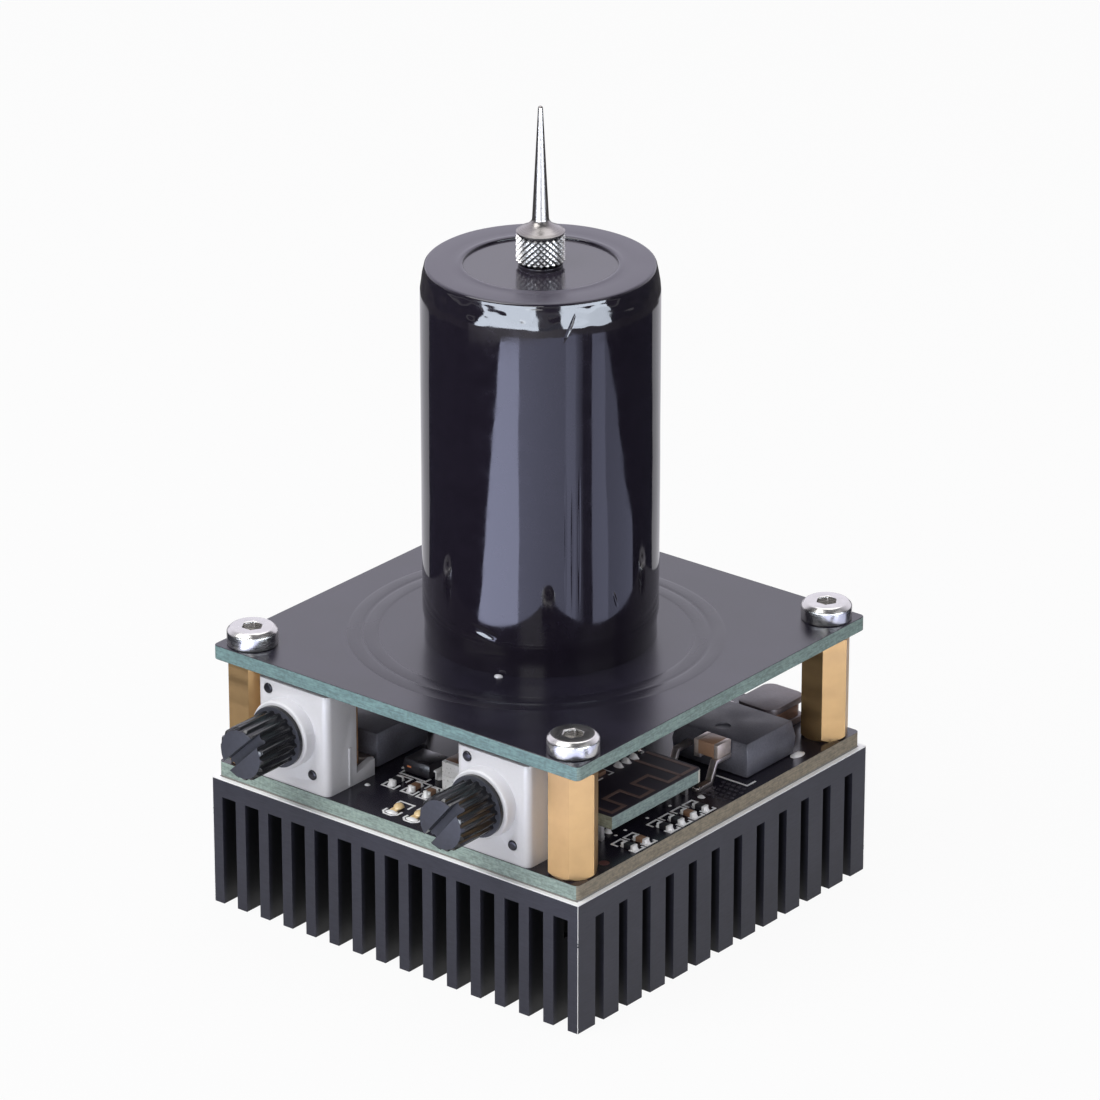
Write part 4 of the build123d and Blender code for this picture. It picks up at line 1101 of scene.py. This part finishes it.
solderValues = {  # sizes are length, width and height of a whole ball, of which the upper half stands on the board
    "foot": (1.28, 1.28, 1.0), "footHigh": 0.08, "sunk": 0.01,
    "rowReach": (0.70, -0.85, 0.05), "frontReach": (-0.78, 0.88),
    "rowEnd": (0.66, 0.78, 1.05), "rowBack": (0.50, 0.62, 0.22), "frontEnd": (0.80, 0.80, 1.45),
    "frontBack": (0.62, 0.55, 0.25), "row": (-13.9, -11.9, -7.9, -5.9, -3.8, -1.8), "rowX": 22.95,
    "front": ((-6.15, -16.8), (-3.6, -16.7), (-1.45, -16.75)),
    "module": ((14.2, -4.6), (14.2, -3.25), (14.2, -1.95)), "moduleSize": (1.05, 0.70, 1.10),
    "pads": ((20.0, -3.2), (20.0, -7.05), (20.0, -10.8), (20.0, -12.4)), "padSize": (0.36, 0.36, 0.18),
    "others": (  # x, y, length, width, height
        (21.3, 0.55, 0.75, 0.60, 0.50), (-8.15, -19.2, 0.55, 0.50, 0.36), (18.9, -13.6, 0.80, 0.70, 1.10),
        (18.95, -12.35, 0.80, 0.60, 1.10), (-3.05, -12.9, 0.55, 1.3, 0.40), (-7.95, -12.9, 0.55, 1.5, 0.40),
        (0.1, -15.35, 2.3, 0.85, 0.70), (22.9, 15.4, 1.0, 1.7, 0.55), (-1.85, -22.72, 1.25, 0.80, 0.40),
        (0.95, -22.72, 1.25, 0.80, 0.40),
    ),
}


def makeSolder():
    values = solderValues
    drop = halfBall(18, 12, 0.5)
    editSome(drop, lambda at: at.z < values["footHigh"])
    bpy.ops.transform.resize(value=values["foot"], center_override=(0, 0, 0))
    stopEditing()
    end, back, shift = values["rowReach"]
    places = []
    for y in values["row"]:
        places.append((values["rowX"] + end, y + shift, *values["rowEnd"]))
        places.append((values["rowX"] + back, y + shift, *values["rowBack"]))
    end, back = values["frontReach"]
    for x, y in values["front"]:
        places.append((x, y + end, *values["frontEnd"]))
        places.append((x, y + back, *values["frontBack"]))
    places += [(x, y, *values["padSize"]) for x, y in values["pads"]]
    places += values["others"]
    drops = [copyOf(drop, (x, y, driverTop - values["sunk"]), 0, size) for x, y, *size in places]
    drops += [copyOf(drop, (x, y, radioTop - values["sunk"]), 0, values["moduleSize"]) for x, y in values["module"]]
    bpy.data.objects.remove(drop)
    piece = joinAll(drops, "solderJoints")
    smooth(piece, 60)
    settle(piece, solder)


makeSolder()


# white marks printed on the boards, and the antenna's track

markValues = {
    "width": 0.22, "high": 0.03, "sunk": 0.005, "moduleShare": 0.8,
    "rowX": (21.0, 24.12), "rowReach": 0.78, "rowLeg": 0.85, "rowShift": 0.3,
    "frontHalf": 0.82, "frontFront": 1.42, "frontBack": 1.60, "frontLeg": 1.05,
    "lampX": (-1.85, 0.95), "lampY": -21.8, "lampHalf": 0.95, "lampCut": 0.45, "lampFront": (-0.45, -1.6, -0.3),
    "lampBack": (1.1, 1.7, 0.6),
    "rectifier": ((-7.35, -3.8, -14.75, -13.9), (-7.35, -3.8, -10.75, -11.4)),
    "transistor": ((19.3, 5.8), (23.4, 5.8), (23.4, 7.25)),
    "module": ((13.45, 14.75, -6.2, -7.0), (13.45, 14.75, -8.75, -7.95)),
}


def bracket(left, right, base, tips):  # three sides of an oblong
    return [(left, tips), (left, base), (right, base), (right, tips)]


def makeMarks():
    values = markValues
    lines = []
    left, right = values["rowX"]
    leg = values["rowLeg"]
    for y in solderValues["row"]:
        low, top = y + values["rowShift"] - values["rowReach"], y + values["rowShift"] + values["rowReach"]
        lines.append([(left + leg, low), (left, low), (left, top), (left + leg * 0.6, top)])
        lines.append([(right - leg, low), (right, low), (right, top), (right - leg * 0.5, top)])
    half, leg = values["frontHalf"], values["frontLeg"]
    for x, y in solderValues["front"]:
        front, back = y - values["frontFront"], y + values["frontBack"]
        lines.append(bracket(x - half, x + half, front, front + leg))
        lines.append(bracket(x - half, x + half, back, back - leg))
    y, half, cut = values["lampY"], values["lampHalf"], values["lampCut"]
    start, low, stop = values["lampFront"]
    first, high, last = values["lampBack"]
    for x in values["lampX"]:
        lines.append([(x - half, y + start), (x - half, y + low + cut), (x - half + cut, y + low),
                      (x + half - cut, y + low), (x + half, y + low + cut), (x + half, y + stop)])
        lines.append([(x - half, y + first), (x - half, y + high), (x + half, y + high), (x + half, y + last)])
    lines += [bracket(*sides) for sides in values["rectifier"]]
    lines.append(values["transistor"])
    sunk, width, high = values["sunk"], values["width"], values["high"]
    marks = [ribbon(line, width, driverTop - sunk, high) for line in lines]
    width *= values["moduleShare"]
    marks += [ribbon(bracket(*sides), width, radioTop - sunk, high) for sides in values["module"]]
    settle(joinAll(marks, "printedMarks"), silkWhite)


makeMarks()

antennaValues = {"width": 0.44, "high": 0.035, "sunk": 0.005, "line": (
    (14.3, 0.05), (20.7, 0.05), (20.7, -2.3), (14.6, -2.3)), "meander": (
    (20.7, -2.3), (20.7, -4.45), (18.0, -4.45), (18.0, -7.05), (20.7, -7.05), (20.7, -9.25), (18.0, -9.25),
    (18.0, -11.85), (20.7, -11.85), (20.7, -14.0), (18.9, -14.0))}


def makeAntenna():
    values = antennaValues
    level = radioTop - values["sunk"]
    parts = [ribbon(values[k], values["width"], level, values["high"]) for k in ("line", "meander")]
    settle(joinAll(parts, "antennaTrack"), antennaCopper)


makeAntenna()


viaValues = {"radius": 0.24, "high": 0.03, "rim": 0.10, "dip": 0.02, "sunk": 0.005, "count": 5, "first": (20.9, 1.5),
             "pitch": (0.68, 0.86), "hole": (23.15, -18.35), "holeSize": (2.4, 2.4, 1.0)}


def makeVias():  # a ring pressed from a disc, then copies in rows
    values = viaValues
    pickNothing()
    bpy.ops.mesh.primitive_circle_add(vertices=14, radius=values["radius"] * mm, fill_type="NGON")
    ring = bpy.context.object
    editAll(ring)
    bpy.ops.mesh.extrude_region_move(TRANSFORM_OT_translate={"value": (0, 0, values["high"] * mm)})
    bpy.ops.mesh.inset(thickness=values["rim"] * mm, depth=-values["dip"] * mm)
    bpy.ops.mesh.select_all(action="SELECT")
    bpy.ops.mesh.normals_make_consistent(inside=False)
    stopEditing()
    level = driverTop - values["sunk"]
    (firstX, firstY), (pitchX, pitchY) = values["first"], values["pitch"]
    rings = []
    for row in range(values["count"]):
        for step in range(values["count"]):
            x, y = firstX + pitchX * step, firstY + pitchY * row
            rings.append(copyOf(ring, (x + pitchX / 2 * (row % 2), y, level)))
    settle(joinAll(rings, "viaRings"), viaTone)
    hole = copyOf(ring, (*values["hole"], level), 0, values["holeSize"])
    hole.name = "platedHole"
    settle(hole, holeCopper)
    bpy.data.objects.remove(ring)


makeVias()


moduleChipValues = {"place": (14.05, -7.45), "rise": 0.22, "size": (0.6, 1.1, 0.45), "edge": 0.05}


def makeModuleChip():  # the small part beside the module's solder bumps
    values = moduleChipValues
    chip = boxAt((*values["place"], radioTop + values["rise"]), values["size"])
    chip.name = "moduleChip"
    roundEdges(chip, values["edge"], 2)
    settle(chip, ceramicBrown)


makeModuleChip()

orangeDashValues = {"x": -6.4, "size": (0.55, 0.05, 0.2), "edge": 0.02}


# a small orange dash on the front face of the rectifier case
def makeOrangeDash():
    values = orangeDashValues
    low, high = lowOf("rectifier_case"), highOf("rectifier_case")
    mark = boxAt((values["x"], low.y, (low.z + high.z) / 2), values["size"])
    mark.name = "orangeDash"
    roundEdges(mark, values["edge"], 1)
    settle(mark, orangeDashTone)


makeOrangeDash()
print("board parts")
